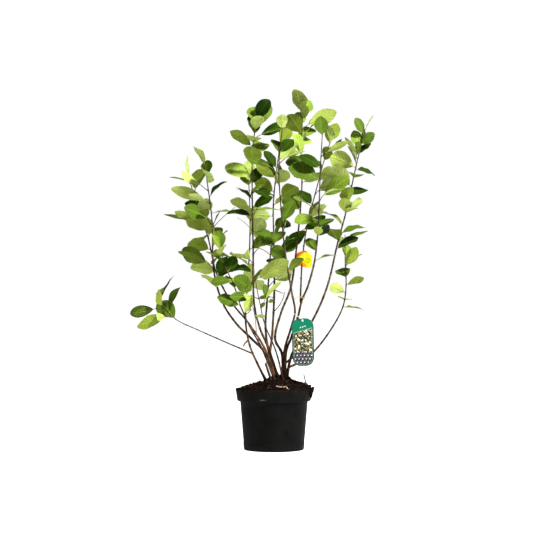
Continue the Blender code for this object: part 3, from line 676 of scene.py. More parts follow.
def route_of(shoot):
    """A bough starts at its parent's bark, on the side that it grows to."""
    if shoot.parent is None:
        return Route(shoot.route)
    parent = next(s for s in SHOOTS if s.name == shoot.parent)
    trunk = route_of(parent)
    root = np.array(shoot.route[0])
    shares = np.linspace(0, 1, PARENT_SAMPLES)
    nearest = shares[np.linalg.norm(trunk.at(shares) - root, axis=1).argmin()]
    away = np.array(shoot.route[1]) - trunk.at(nearest)
    along = trunk.tangent(nearest)
    outward = unit(away - along * np.dot(away, along))
    slope = np.dot(unit(away), along)
    reach = radius_at(parent, trunk, nearest) + CLEARANCE + shoot.foot_width / 2 * abs(slope)
    return Route((tuple(trunk.at(nearest) + outward * reach), *shoot.route[1:]))


routes = {shoot.name: route_of(shoot) for shoot in SHOOTS}
print("longest shoot:", round(max(route.length for route in routes.values()), 3), "m")

# %% One leaf of the rule
Leaf = namedtuple("Leaf", "root stalk along upper length width curl fold")


def leaf_at(root, stem_way, outward, rng, length, lean_share):
    """A leaf that leans away from its stem, upper face towards the tip, rolled a little."""
    lean = rng.uniform(*LEAN_RANGE) * lean_share
    roll = rng.normal(0, ROLL_SPREAD)
    curl = rng.uniform(*CURL_RANGE)
    fold = rng.uniform(*FOLD_RANGE)
    size = length * rng.uniform(*SIZE_RANGE)
    width = size * rng.uniform(*WIDTH_SHARE)
    along = stem_way * math.cos(lean) + outward * math.sin(lean)
    upper = stem_way * math.sin(lean) - outward * math.cos(lean)
    upper = turned(upper, along, roll)
    return Leaf(root, size * STALK_SHARE, along, upper, size, width, curl, fold)


def midrib(leaf, share):
    """Points of the midrib, its way and its upper side: an arc whose turn grows evenly."""
    turn = leaf.curl * np.asarray(share, float)[..., None]
    way = leaf.along * np.cos(turn) - leaf.upper * np.sin(turn)
    up = leaf.upper * np.cos(turn) + leaf.along * np.sin(turn)
    forward = leaf.length * np.sin(turn) / leaf.curl
    down = leaf.length * (1 - np.cos(turn)) / leaf.curl
    start = leaf.root + leaf.along * leaf.stalk
    return start + leaf.along * forward - leaf.upper * down, way, up


def corners(leaf):
    """The tip and four margin points of the leaf's solid."""
    side = np.cross(leaf.along, leaf.upper)
    points = [midrib(leaf, 1.0)[0]]
    for share, wide in LEAF_PROFILE:
        place, way, up = midrib(leaf, share)
        half = leaf.width / 2 * wide
        level = place + up * half * math.sin(leaf.fold) / 2
        across = side * half * math.cos(leaf.fold)
        points += [level + across, level - across]
    return points


print("points tested on each leaf:", 1 + 2 * len(LEAF_PROFILE))

# %% [markdown]
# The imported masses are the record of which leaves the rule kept: it skipped a leaf that would
# have touched a limb. So each leaf that the rule offers is held against its mass, and counts
# as grown where most of its points lie on the solid's surface.

# %% Which leaves the mass kept
SEEN_WITHIN = 0.0003
SEEN_POINTS = 3
Sprig = namedtuple("Sprig", "leaf mass seed")


def solid_of(name):
    """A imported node's surface, ready to be asked for its nearest point."""
    mesh = nodes[name].data
    points = [tuple(vertex.co) for vertex in mesh.vertices]
    return BVHTree.FromPolygons(points, [tuple(face.vertices) for face in mesh.polygons])


def is_in(solid, leaf):
    """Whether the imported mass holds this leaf: most of its points lie on the solid's surface."""
    gaps = [solid.find_nearest(tuple(point))[3] for point in corners(leaf)]
    return sum(gap < SEEN_WITHIN for gap in gaps) >= SEEN_POINTS


print("a leaf counts with", SEEN_POINTS, "points within", SEEN_WITHIN, "m")


# %% Grow one mass
def growth(route, mass, name):
    """One mass by the growing rule: its side twigs, its leaves, and the shares of its nodes."""
    rng, solid = np.random.default_rng(mass.seed), solid_of(f"foliage_{name}")
    phase = rng.uniform(0, 2 * math.pi)
    twigs, sprigs, joints = [], [], []
    planned, node = 0, 0
    gap = (mass.end - mass.start) / (mass.leaves * NODES_PER_LEAF)
    share = mass.start + gap * FIRST_NODE
    while planned < mass.leaves:
        share = min(share, mass.end - END_MARGIN / route.length)
        tip_share = share**3 if mass.end == 1 else 0.0
        lean_share = 1 - TOP_LEAN_SHARE * tip_share
        length = mass.length * (1 - TOP_SIZE_LOSS * tip_share)
        angle = phase + node * LEAF_TURN + rng.normal(0, TURN_SPREAD)
        if mass.end == 1 and planned + 1 == mass.leaves:
            share = 1 - LAST_LEAF_DROP / route.length
            lean_share = LAST_LEAN_SHARE
        on_spur = rng.random() < SPUR_SHARE and planned + 2 <= mass.leaves
        spur_length = rng.uniform(*SPUR_RANGE)
        leaf_seed = int(rng.integers(1 << 30))
        root, way = route.at(share), route.tangent(share)
        side = unit(np.cross(way, (0.0, 1.0, 0.0)))
        for trial in range(TURN_TRIES):
            outward = turned(side, way, angle + trial * TRY_TURN)
            own = np.random.default_rng(leaf_seed)
            if not on_spur:
                leaf = leaf_at(root, way, outward, own, length, lean_share)
                if is_in(solid, leaf):
                    sprigs.append(Sprig(leaf, name, leaf_seed))
                    joints.append((share, outward))
                    break
                continue
            spur_way = unit(way + outward)
            end = root + spur_way * spur_length
            first = leaf_at(end, spur_way, outward, own, length, SPUR_LEANS[0])
            beside = turned(outward, spur_way, SPUR_PAIR_TURN)
            second = leaf_at(end, spur_way, beside, own, length * SECOND_SIZE, SPUR_LEANS[1])
            if is_in(solid, first):
                twigs.append((root, end))
                joints.append((share, outward))
                sprigs.append(Sprig(first, name, leaf_seed))
                if is_in(solid, second):
                    sprigs.append(Sprig(second, name, leaf_seed + 1))
                break
        planned += 2 if on_spur else 1
        node += 1
        share += gap
    return twigs, sprigs, joints


print("the rule tries each leaf at", TURN_TRIES, "turns")

# %% Grow every mass
twigs, sprigs, joints = [], [], {}
for shoot in SHOOTS:
    joints[shoot.name] = []
    for mass in shoot.masses:
        name = f"{shoot.name}_{mass.name}"
        more_twigs, more_sprigs, more_joints = growth(routes[shoot.name], mass, name)
        twigs += more_twigs
        sprigs += more_sprigs
        joints[shoot.name] += more_joints
print("leaves grown:", len(sprigs), " side twigs:", len(twigs))

# %% [markdown]
# A few leaves come late and stay small on the bare stems, below the masses. The rule doesn't
# reach them, so these are set by the outline that they show from the front.

# %% Small late leaves
Late = namedtuple("Late", "shoot base tip depth width turn seed")
# The base and the tip are (x, height) as seen from the front; the turn is away from face on.
LATE_LEAVES = (
    Late("middle_short", (-0.0235, 0.4300), (-0.0400, 0.4170), -0.010, 0.0135, 0.3, 4),
    Late("middle_short", (-0.0190, 0.4300), (-0.0020, 0.4360), -0.010, 0.0120, 0.3, 18),
    Late("middle_rear", (-0.0060, 0.4448), (-0.0410, 0.4478), -0.020, 0.0170, 1.1, 3),
    Late("left_rear", (-0.0655, 0.4096), (-0.0830, 0.4125), -0.014, 0.0115, 0.3, 13),
)
LATE_CURL, LATE_FOLD = 0.4, 0.25


def late_leaf(late):
    """A leaf of a given outline as seen from the front, and the twig that carries it."""
    route = routes[late.shoot]
    start = route.points[np.linalg.norm(route.points[:, [0, 2]] - late.base, axis=1).argmin()]
    depth = start[1] + late.depth
    root = np.array((late.base[0], depth, late.base[1]))
    reach = np.array((late.tip[0], depth, late.tip[1])) - root
    length, along = np.linalg.norm(reach), unit(reach)
    upper = turned(unit(np.cross(np.cross(along, (0.0, -1.0, 0.0)), along)), along, late.turn)
    leaf = Leaf(root, length * STALK_SHARE, along, upper, length, late.width, LATE_CURL, LATE_FOLD)
    return leaf, (start, root)


for late in LATE_LEAVES:
    leaf, twig = late_leaf(late)
    sprigs.append(Sprig(leaf, "late", late.seed))
    twigs.append(twig)
print("with late leaves:", len(sprigs))

# %% [markdown]
# ## Leaves
#
# A chokeberry leaf is a thin oval blade, widest just beyond its middle, folded a little along
# its midrib, with a finely toothed margin. The upper side is glossy and dark, the underside
# dull and pale, and young leaves are the palest of all.
#
# A flat card with a picture of a leaf would be quick, but it vanishes edge on and has no
# margin of its own. Here the blade is one function of two parameters: u runs from base to
# tip and v from margin to margin. The half width is w(u) = W/2 sin(pi u^1.08)^0.70. The
# upper and lower sheets each swell by a fifth of a millimetre and meet at the margin, so a
# leaf is a closed thin shell.

# %% The blade's surface
BLADE_ROWS = 21
BLADE_COLUMNS = 5
BLADE_HALF_THICKNESS = 0.00022
OUTLINE_BULGE = 1.08
OUTLINE_FULLNESS = 0.70
TOOTH = 0.022
MARGIN_WAVE = 0.07
WAVES_RANGE = (1.2, 2.4)
WAVE_SKEW = 1.4
TWIST_SPREAD = 0.22
FOLD_RISE, FOLD_SETTLE = 0.8, 0.3  # the fold lifts each half, less steeply near the margin


def blade(leaf, rng):
    """The upper and lower sheets of a leaf, as two (rows, columns, 3) grids."""
    u = np.linspace(0, 1, BLADE_ROWS)
    v = np.linspace(-1, 1, BLADE_COLUMNS)
    place, way, up = midrib(leaf, u)
    outline = np.sin(math.pi * u**OUTLINE_BULGE) ** OUTLINE_FULLNESS
    outline[[0, -1]] = 0.0
    teeth = 1 + TOOTH * np.where(np.arange(BLADE_ROWS) % 2, 1.0, -1.0)
    half = (leaf.width / 2 * outline * teeth)[:, None]
    side = np.cross(leaf.along, leaf.upper)
    twist = (rng.normal(0, TWIST_SPREAD) * u)[:, None]
    across = side * np.cos(twist) + up * np.sin(twist)
    level = up * np.cos(twist) - side * np.sin(twist)
    waves, start = rng.uniform(*WAVES_RANGE), rng.uniform(0, 2 * math.pi)
    wave = np.sin(2 * math.pi * waves * u[:, None] + start + WAVE_SKEW * v[None, :])
    wide = half * v[None, :] * math.cos(leaf.fold)
    fold = (FOLD_RISE * np.abs(v) - FOLD_SETTLE * v**2)[None, :]
    rise = half * math.sin(leaf.fold) * fold
    rise = rise + half * MARGIN_WAVE * wave * (v**2)[None, :]
    middle = place[:, None] + across[:, None] * wide[..., None] + level[:, None] * rise[..., None]
    swell = np.sqrt(1 - v**2)[None, :] * np.minimum(1, 8 * u * (1 - u))[:, None]
    skin = level[:, None] * (swell * BLADE_HALF_THICKNESS)[..., None]
    return middle + skin, middle - skin


print("a blade has", BLADE_ROWS, "by", BLADE_COLUMNS, "points on each side")

# %% [markdown]
# A leaf hangs on a short stalk, which runs on under the blade as its midrib. The midrib could
# be left to the finish, but its raised line catches the light from below. One thin tube
# serves for both, and it narrows towards the tip.

# %% The stalk and the midrib
STALK_RADIUS, STALK_SWELLS = 0.0009, (1.35, 1.0, 0.95)
STALK_BOW, STALK_TURN = 0.0006, 3
RIB_RADIUS, RIB_SWELLS = 0.0006, (1.1, 0.9, 0.7, 0.5, 0.3)
RIB_SHARES = (0.12, 0.3, 0.5, 0.7, 0.88)
RIB_SINK = 0.6
STALK_COLUMNS = 5


def stalk(leaf):
    """The stalk from the stem, and on along the underside as the midrib's raised line."""
    reach = np.array([0.0, 0.5, 1.0])[:, None]
    bow = leaf.upper * STALK_BOW * np.sin(reach * STALK_TURN)
    stem = leaf.root + leaf.along * leaf.stalk * reach + bow
    place, way, up = midrib(leaf, np.array(RIB_SHARES))
    rib = place - up * RIB_RADIUS * RIB_SINK
    radii = [STALK_RADIUS * s for s in STALK_SWELLS] + [RIB_RADIUS * s for s in RIB_SWELLS]
    return closed_rings(np.vstack([stem, rib]), radii, STALK_COLUMNS)


print("a stalk has", len(STALK_SWELLS) + len(RIB_SWELLS), "rings of", STALK_COLUMNS)

# %% [markdown]
# Leaf colour runs from nearly black green in the shade to a pale yellow green in the sun, and
# here that shade and that sun are painted into the leaves' own colour. One colour map over the
# whole plant could hold that, but a leaf is one age all over, so the leaves are sorted into five
# tones, each with an upper and a lower finish. Veins are drawn by the blade's own map: the
# midrib is where v is near the middle, and side veins are a repeating line in u that slants
# towards the margin.

# %% Leaf finishes
Tone = namedtuple("Tone", "name upper under roughness")
# Partly leaf colour and partly painted light: deep and dark paint shade, fresh and young sun.
TONES = (
    Tone("deep", (0.006, 0.020, 0.0004), (0.105, 0.150, 0.012), 0.46),
    Tone("dark", (0.018, 0.046, 0.0008), (0.200, 0.270, 0.028), 0.48),
    Tone("green", (0.072, 0.124, 0.010), (0.340, 0.425, 0.078), 0.48),
    Tone("fresh", (0.175, 0.262, 0.026), (0.430, 0.530, 0.130), 0.50),
    Tone("young", (0.280, 0.390, 0.055), (0.450, 0.560, 0.155), 0.52),
)
VEIN_PAIRS = 7.0
VEIN_SLANT = 0.30
VEIN_STRENGTH = 0.7
VEIN_LIFT = (0.010, 0.016, 0.001)
UNDER_ROUGHNESS = 0.62
BLOTCH_SCALE, LEAF_GRAIN_SCALE = 45.0, 900.0


def leaf_finish(name, colour, roughness, vein_tint, relief):
    """Blade colour with a midrib, slanting side veins, soft blotches and fine grain."""
    finish = Finish(name)
    across, along = finish.map_place()
    off = (across * 2.0 - 1.0).size()
    spot = finish.place()
    blotch = finish.noise(spot, BLOTCH_SCALE, 2.0)
    grain = finish.noise(spot, LEAF_GRAIN_SCALE, 2.0)
    order = (along - off * VEIN_SLANT) * VEIN_PAIRS
    near = (order.maths("FRACT") - 0.5).size() * 2.0
    side_vein = near.rise(0.62, 1.0) * off.rise(1.0, 0.85)
    rib = off.rise(0.20, 0.04)
    vein = side_vein.most(rib)
    darker = tuple(c * 0.90 for c in colour)
    lighter = tuple(min(1.0, c * 1.10 + 0.003) for c in colour)
    veined = tuple(min(1.0, c * vein_tint + lift) for c, lift in zip(colour, VEIN_LIFT))
    base = finish.mix(blotch.rise(0.30, 0.70), darker, lighter)
    base = finish.mix(vein * VEIN_STRENGTH, base, veined)
    rough = blotch * 0.16 + (roughness - 0.08)
    finish.feed(base_color=base, roughness=rough, specular_ior_level=0.04)
    height = grain * 0.10 - vein * relief - near * near * 0.4
    return finish.bump(height, 0.4, 0.0006).material


print("side veins on each half:", int(VEIN_PAIRS))

# %% Five tones, two sides and the stalk
leaf_materials = {}
for tone in TONES:
    leaf_materials[tone.name] = (
        leaf_finish(f"leaf_{tone.name}_upper", tone.upper, tone.roughness, 1.55, 0.7),
        leaf_finish(f"leaf_{tone.name}_under", tone.under, UNDER_ROUGHNESS, 1.45, -0.7),
    )
stalk_finish = Finish("leaf_stalk")
ripe = stalk_finish.noise(stalk_finish.place(), 60.0, 2.0)
stalk_colour = stalk_finish.mix(ripe.rise(0.35, 0.65), (0.24, 0.34, 0.06), (0.22, 0.12, 0.05))
stalk_finish.feed(base_color=stalk_colour, roughness=ripe * 0.2 + 0.42)
stalk_finish.bump(stalk_finish.noise(stalk_finish.place(), 1400.0, 2.0), 0.2, 0.0003)
print("leaf finishes:", 2 * len(leaf_materials))

# %% [markdown]
# Each leaf draws its tone from its own seed. A mass that stands out in the sun is painted
# towards the pale end as a whole, as painted sunlight, and one that stands in shade towards the
# dark end, as painted shade. A blade is a little wider than the leaf of the solid, and one at
# the plant's very outside is drawn smaller, so that it stays within the plant's measured size.

# %% Join the leaves by tone
TONE_MIDDLE, TONE_SPREAD, TONE_SEED = 0.50, 0.22, 763
# Painted light: SUNNY masses get paler tones as painted sunlight, SHADY ones darker as painted
# shade.
SUNNY, SHADY = 0.20, -0.15
SUNNY_MASSES = ("left_upright_low", "middle_short_leaves", "right_arching_top", "tallest_upper")
SHADY_MASSES = (
    "left_arching_low", "low_left_bough_leaves", "middle_left_middle", "middle_rear_top",
    "middle_right_middle", "right_arching_middle", "right_fork_bough_top", "right_forked_top",
)
LEANS = dict.fromkeys(SUNNY_MASSES, SUNNY) | dict.fromkeys(SHADY_MASSES, SHADY)
FULL_SIZES = ((1.0, 1.06), (1.0, 1.0), (0.97, 0.94), (0.94, 0.90), (0.91, 0.86))
foliage_nodes = [name for name in nodes if name.startswith("foliage_")]
heaps = {tone.name: Heap() for tone in TONES}
stalks = Heap()
for sprig in sprigs:
    draw = np.random.default_rng(sprig.seed + TONE_SEED).normal()
    value = TONE_MIDDLE + TONE_SPREAD * draw + LEANS.get(sprig.mass, 0.0)
    tone = TONES[int(np.clip(value * len(TONES), 0, len(TONES) - 1))]
    for long, wide in FULL_SIZES:  # shares of the leaf's length and width
        rng = np.random.default_rng(sprig.seed)
        leaf = sprig.leaf._replace(length=sprig.leaf.length * long, width=sprig.leaf.width * wide)
        upper, under = blade(leaf, rng)
        both = np.concatenate([upper, under])
        if (both > low_at_start).all() and (both < high_at_start).all():
            break
    heaps[tone.name].add(upper, kind=0)
    heaps[tone.name].add(under, kind=1, flip=True)
    stalks.add(stalk(leaf), ring=True)
for tone in TONES:
    stands_for = foliage_nodes if tone.name == "green" else ()
    heaps[tone.name].piece(
        f"leaves_{tone.name}", leaf_materials[tone.name], "foliage", stands_for, 70.0
    )
stalks.piece("leaf_stalks", (stalk_finish.material,), "foliage")

# %% [markdown]
# ## Stems
#
# Bark on a young chokeberry is smooth and thin. It is orange brown near the soil, grey brown
# above, and olive where the shoot is new. What breaks it up is a swelling at each leaf, a
# pointed bud above it, old leaf scars lower down, and a scatter of pale pores.
#
# The solids' stems have a few flat sides, which is enough to carry them but shows as
# facets. A curve with a bevel would be round, but it can't carry a relief. So each stem is
# drawn again on the same route, as a tube whose radius is r(s) (1 + noise), swollen by a
# bell curve at each joint.

# %% Bark
BARK_STEP = 0.0030
BARK_COLUMNS = 14
BURIED = 0.020
JOINT_SWELL = 0.16
JOINT_REACH = 0.0032
SCAR_START = 0.05
SCAR_GAP, SCAR_GAP_RANGE = 0.026, (0.7, 1.4)
TIP_RADIUS, TIP_REACH = 0.0009, 0.004
ROOT_SWELL = 1.15
BARK_RELIEF = 0.05
RELIEF_START, RELIEF_ROUND, RELIEF_ALONG = (3, 9), 1.3, 60


def old_scars(shoot, rng):
    """Joints below the lowest leaves: evenly spaced round and up the bare part."""
    route = routes[shoot.name]
    share, found = SCAR_START / route.length, []
    while share < shoot.masses[0].start:
        way = route.tangent(share)
        side = unit(np.cross(way, (0.0, 1.0, 0.0)))
        found.append((share, turned(side, way, rng.uniform(0, 2 * math.pi))))
        share += SCAR_GAP * rng.uniform(*SCAR_GAP_RANGE) / route.length
    return found


def stem_surface(shoot, scars, rng):
    """The whole shoot as a tube from inside the soil, or inside its parent, to its tip."""
    route = routes[shoot.name]
    count = int(route.length / BARK_STEP)
    shares = np.linspace(0, 1, count)
    path = route.at(shares)
    radii = radius_at(shoot, route, shares)
    to_tip = (1 - shares) * route.length
    radii = np.maximum(radii * np.minimum(1, to_tip / TIP_REACH + 0.4), TIP_RADIUS)
    for share, outward in joints[shoot.name] + scars:
        off = (shares - share) * route.length / JOINT_REACH
        radii = radii * (1 + JOINT_SWELL * np.exp(-(off**2)))
    if shoot.parent is None:
        start = path[0] - route.tangent(0.0) * BURIED
    else:
        trunk = routes[shoot.parent]
        start = trunk.points[np.linalg.norm(trunk.points - path[0], axis=1).argmin()]
    path = np.vstack([start, path])
    radii = np.concatenate([[radii[0] * ROOT_SWELL], radii])
    angle = np.arange(BARK_COLUMNS) / BARK_COLUMNS
    run = np.arange(count + 1)[:, None] * BARK_STEP
    circle = 2 * math.pi * angle[None, :]
    seed = int(rng.integers(1 << 20))
    over = RELIEF_START[0] + np.cos(circle) * RELIEF_ROUND + run * RELIEF_ALONG
    beside = RELIEF_START[1] + np.sin(circle) * RELIEF_ROUND
    relief = 1 + BARK_RELIEF * rough_noise(over, beside, seed, 3)
    return closed_rings(path, radii, BARK_COLUMNS, relief)


print("a ring of bark every", BARK_STEP, "m, of", BARK_COLUMNS, "points")

# %% [markdown]
# A bud sits above each leaf and on each old scar, and a larger one ends every shoot. A scaled
# sphere would be quick, but the long pointed buds of a chokeberry are nearer to a spindle,
# and a spindle comes from the same rings as the bark.


# %% Buds
def spindle(root, way, length, width, rows=5, columns=6):
    """A small pointed body, such as a bud: its radius is sin(pi t^0.7) times half its width."""
    t = np.linspace(0.04, 0.98, rows)
    path = np.asarray(root) + np.asarray(way) * (t * length)[:, None]
    return closed_rings(path, width / 2 * np.sin(math.pi * t**0.7) ** 0.8, columns)


print("a spindle runs from its root to its point in one heap of rings")

# %% Grow the bark and the buds
BARK_SEED = 700
BUD_WIDTH, BUD_LENGTHS, BUD_LEAN = 0.0022, (0.004, 0.0065), 0.35
BUD_SEAT, BUD_ABOVE = 0.7, 0.002
SCAR_BUD_LENGTHS, SCAR_BUD_LEAN, SCAR_BUD_SEAT = (0.002, 0.004), 0.8, 0.75
END_BUD_LENGTH, END_BUD_WIDTH, END_BUD_SINK = 0.008, 0.0032, 0.001
bark, buds = Heap(), Heap()
for number, shoot in enumerate(SHOOTS):
    rng = np.random.default_rng(BARK_SEED + number)
    route = routes[shoot.name]
    scars = old_scars(shoot, rng)
    bark.add(stem_surface(shoot, scars, rng), ring=True)
    for share, outward in joints[shoot.name]:
        way, radius = route.tangent(share), radius_at(shoot, route, share)
        lean = unit(way + outward * BUD_LEAN)
        root = route.at(share) + outward * radius * BUD_SEAT + way * BUD_ABOVE
        buds.add(spindle(root, lean, rng.uniform(*BUD_LENGTHS), BUD_WIDTH), ring=True)
    for share, outward in scars:
        way, radius = route.tangent(share), radius_at(shoot, route, share)
        lean = unit(way + outward * SCAR_BUD_LEAN)
        root = route.at(share) + outward * radius * SCAR_BUD_SEAT
        buds.add(spindle(root, lean, rng.uniform(*SCAR_BUD_LENGTHS), BUD_WIDTH), ring=True)
    way = route.tangent(1.0)
    root = route.at(1.0) - way * END_BUD_SINK
    buds.add(spindle(root, way, END_BUD_LENGTH, END_BUD_WIDTH), ring=True)
print("points of bark:", bark.count, " of buds:", buds.count)

# %% [markdown]
# Short bare twigs, cut stubs and the thin side shoots that carry pairs of leaves are the same
# tube at a smaller size. A rule could strew the bare ones, but they are few, so each is named
# by its shoot and the places where it starts and ends, as seen from the front.

# %% Twigs and stubs
Twig = namedtuple("Twig", "shoot start_x start_z end_x end_z depth width")
BARE_TWIGS = (
    Twig("left_arching", -0.168, 0.650, -0.111, 0.706, -0.020, 0.0024),
    Twig("middle_left", -0.064, 0.640, -0.106, 0.676, 0.010, 0.0018),
    Twig("middle_left", -0.064, 0.758, -0.109, 0.757, -0.015, 0.0014),
    Twig("left_upright", -0.078, 0.316, -0.090, 0.302, -0.020, 0.0060),
    Twig("middle_short", -0.017, 0.239, -0.023, 0.254, 0.004, 0.0060),
    Twig("middle_rear", 0.000, 0.404, 0.0325, 0.4606, -0.010, 0.0032),
    Twig("middle_rear", 0.001, 0.471, 0.0275, 0.4555, -0.006, 0.0030),
    Twig("left_rear", -0.0535, 0.337, -0.0656, 0.428, -0.010, 0.0026),
    Twig("right_forked", 0.037, 0.252, 0.051, 0.274, -0.018, 0.0068),
    Twig("right_arching", 0.049, 0.262, 0.070, 0.284, 0.020, 0.0042),
)

# This stub stands in the peat by itself.
LOOSE_STUB = ((-0.008, -0.027, 0.204), (-0.0245, -0.034, 0.254))
LOOSE_STUB_WIDTH = 0.0084
print("bare twigs:", len(BARE_TWIGS) + 1)

# %% Grow the twigs
SIDE_TWIG_RADII = (0.0014, 0.0010)
TWIG_TIP, STUB_TIP = 0.55, 0.8  # the tip's width as a share of the foot's
TWIG_POINTS, TWIG_COLUMNS, TWIG_SEED = 9, 8, 41
TWIG_SAG, SIDE_TWIG_SAG = 0.04, 0.03


def bent_path(start, end, sag, rng):
    """Points from start to end, bowed aside by a sine."""
    t = np.linspace(0, 1, TWIG_POINTS)[:, None]
    bow = rng.normal(0, 1, 3) * np.linalg.norm(end - start) * sag
    return start + (end - start) * t + bow * np.sin(math.pi * t)


rng = np.random.default_rng(TWIG_SEED)
taper = np.linspace(1, STUB_TIP, TWIG_POINTS)
for twig in BARE_TWIGS:
    route = routes[twig.shoot]
    seen = route.points[:, [0, 2]] - (twig.start_x, twig.start_z)
    start = route.points[np.linalg.norm(seen, axis=1).argmin()]
    end = np.array((twig.end_x, start[1] + twig.depth, twig.end_z))
    path = bent_path(start, end, TWIG_SAG, rng)
    radii = np.linspace(twig.width, twig.width * TWIG_TIP, TWIG_POINTS) / 2
    bark.add(closed_rings(path, radii, TWIG_COLUMNS), ring=True)
path = bent_path(np.array(LOOSE_STUB[0]), np.array(LOOSE_STUB[1]), TWIG_SAG, rng)
bark.add(closed_rings(path, taper * LOOSE_STUB_WIDTH / 2, TWIG_COLUMNS), ring=True)
radii = np.linspace(*SIDE_TWIG_RADII, TWIG_POINTS)
for root, end in twigs:
    bark.add(closed_rings(bent_path(root, end, SIDE_TWIG_SAG, rng), radii, TWIG_COLUMNS), ring=True)
print("points of bark with the twigs:", bark.count)

# %% [markdown]
# The bark's colour follows its height above the pot's foot, so one material serves every
# stem. Streaks are noise that is stretched along the stem, and pores are the middles of
# cells. A little shade is painted in where the stems stand close behind one another.

# %% Bark finish
BARK_FOOT, BARK_TOP = 0.24, 0.62
BROWN_END, OLIVE_END = 0.42, 1.0
STREAK_LOW, STREAK_HIGH = 0.36, 0.64
bark_finish = Finish("bark")
spot = bark_finish.place()
x, y, z = bark_finish.split(spot)
stretched = bark_finish.join(x * 300.0, y * 300.0, z * 60.0)
streak = bark_finish.noise(stretched, 1.0, 4.0, 0.65)
broad = bark_finish.noise(bark_finish.join(x * 110.0, y * 110.0, z * 16.0), 1.0, 2.0)
patch = bark_finish.noise(spot, 22.0, 3.0)
pores = bark_finish.cells(bark_finish.join(x * 700.0, y * 700.0, z * 330.0), 1.0)
height = z + (patch - 0.5) * 0.16
light = streak.rise(STREAK_LOW, STREAK_HIGH)
low = bark_finish.mix(light, (0.024, 0.010, 0.006), (0.330, 0.140, 0.058))
high = bark_finish.mix(light, (0.014, 0.009, 0.005), (0.160, 0.108, 0.044))
new = bark_finish.mix(light, (0.026, 0.018, 0.007), (0.140, 0.120, 0.036))
pore = pores.rise(0.24, 0.12)
colour = bark_finish.mix(height.rise(BARK_FOOT, BROWN_END), low, high)
colour = bark_finish.mix(height.rise(BARK_TOP, OLIVE_END) * 0.7, colour, new)
colour = bark_finish.mix(pore * 0.5, colour, (0.250, 0.190, 0.095))
colour = bark_finish.mix(broad.rise(0.56, 0.44) * 0.75, colour, (0.020, 0.011, 0.007))
shaded = x.rise(0.012, 0.030).most(y.rise(-0.020, -0.030)) * height.rise(0.40, 0.30)
colour = bark_finish.mix(shaded * 0.6, colour, (0.014, 0.008, 0.006))
stain = (z + (streak - 0.5) * 0.03).rise(0.236, 0.214)
colour = bark_finish.mix(stain * 0.85, colour, (0.028, 0.012, 0.008))
bark_finish.feed(base_color=colour, roughness=streak * 0.3 + 0.52, specular_ior_level=0.10)
bark_finish.bump(streak * 0.7 + pore, 0.5, 0.0006)
print("bark turns grey brown by", BROWN_END, "m and olive by", OLIVE_END, "m")

# %% Bud finish, and both pieces
bud_finish = speckled(
    "bud", 420.0, 3.0, (0.075, 0.020, 0.014), (0.220, 0.085, 0.040),
    rough=(0.25, 0.38), relief=(0.4, 0.0004), span=(0.3, 0.7),
)
limb_nodes = [name for name in nodes if name.startswith(("stem_", "bough_"))]
bark.piece("stems", (bark_finish.material,), "bark", limb_nodes, 60.0)
buds.piece("buds", (bud_finish,), "bark", (), 60.0)

# %% [markdown]
# ## Peat
#
# The pot is full of dark peat that stands up in a mound round the stems and has spilled a
# little over the rim on the right. Loose crumbs lie on it, with fibres, one pale root and a
# straw.
#
# A flat disc with a bumpy material would do from far off, but the mound shows against the
# light. So the body is a lathe whose top is lifted by hills on hills, and the crumbs are
# real pebbles of 24 faces each.

# %% The mound
SOIL_EDGE, SOIL_TOP = 0.1765, 0.2160
MOUND_CENTRE, MOUND_REACH = (0.014, 0.0), 0.115
HUMMOCK_RISE, HUMMOCK_REACH = 0.0095, 0.036
LUMP_HEIGHT, LUMP_SIZE = 0.0030, 0.015
GRAIN_HEIGHT, GRAIN_SIZE = 0.0024, 0.006
PEAT_EDGE_RADIUS, PEAT_PEAK_RADIUS = 0.1092, 0.0004
PEAT_COLUMNS, PEAT_RINGS = 420, 78
PEAT_FOOT = 0.0034
# Radius and height of the peat's hidden side, just inside the pot's wall.
PEAT_WALL = (
    (0.0002, PEAT_FOOT), (0.0855, PEAT_FOOT), (0.0971, 0.1430), (0.1050, 0.1460), (0.1086, 0.1715),
)


def soil_height(x, y):
    """A low round mound with a steeper hummock of peat at the stems' feet, lumps and grains."""
    away = np.hypot(x - MOUND_CENTRE[0], y - MOUND_CENTRE[1])
    share = np.minimum(away / MOUND_REACH, 1)
    slope = (SOIL_TOP - HUMMOCK_RISE - SOIL_EDGE) * (1 - share**1.5)
    hummock = HUMMOCK_RISE * np.exp(-((away / HUMMOCK_REACH) ** 4))
    lump = LUMP_HEIGHT * rough_noise(x / LUMP_SIZE + 11, y / LUMP_SIZE + 7, 5, 2)
    lump = lump * np.clip(share * 4, 0.3, 1)
    grain = GRAIN_HEIGHT * np.abs(rough_noise(x / GRAIN_SIZE + 31, y / GRAIN_SIZE + 23, 8, 3))
    return SOIL_EDGE + slope + hummock + lump + grain - 0.0010


def pole(height, columns):
    """A ring drawn together to one point on the axis, which closes a lathe."""
    return np.broadcast_to(np.array((0.0, 0.0, height)), (1, columns, 3))


turns = np.arange(PEAT_COLUMNS) * 2 * math.pi / PEAT_COLUMNS
radii = np.linspace(PEAT_EDGE_RADIUS - 0.0012, PEAT_PEAK_RADIUS, PEAT_RINGS)
top_x = radii[:, None] * np.cos(turns)[None, :]
top_y = radii[:, None] * np.sin(turns)[None, :]
top = np.stack([top_x, top_y, soil_height(top_x, top_y)], axis=-1)
under = np.array([[(r * math.cos(a), r * math.sin(a), z) for a in turns] for r, z in PEAT_WALL])
peak = pole(float(top[-1, :, 2].mean()), PEAT_COLUMNS)
peat = Heap()
peat.add(np.concatenate([pole(PEAT_FOOT, PEAT_COLUMNS), under, top, peak]), ring=True)
print("highest peat:", round(float(top[..., 2].max()), 4))

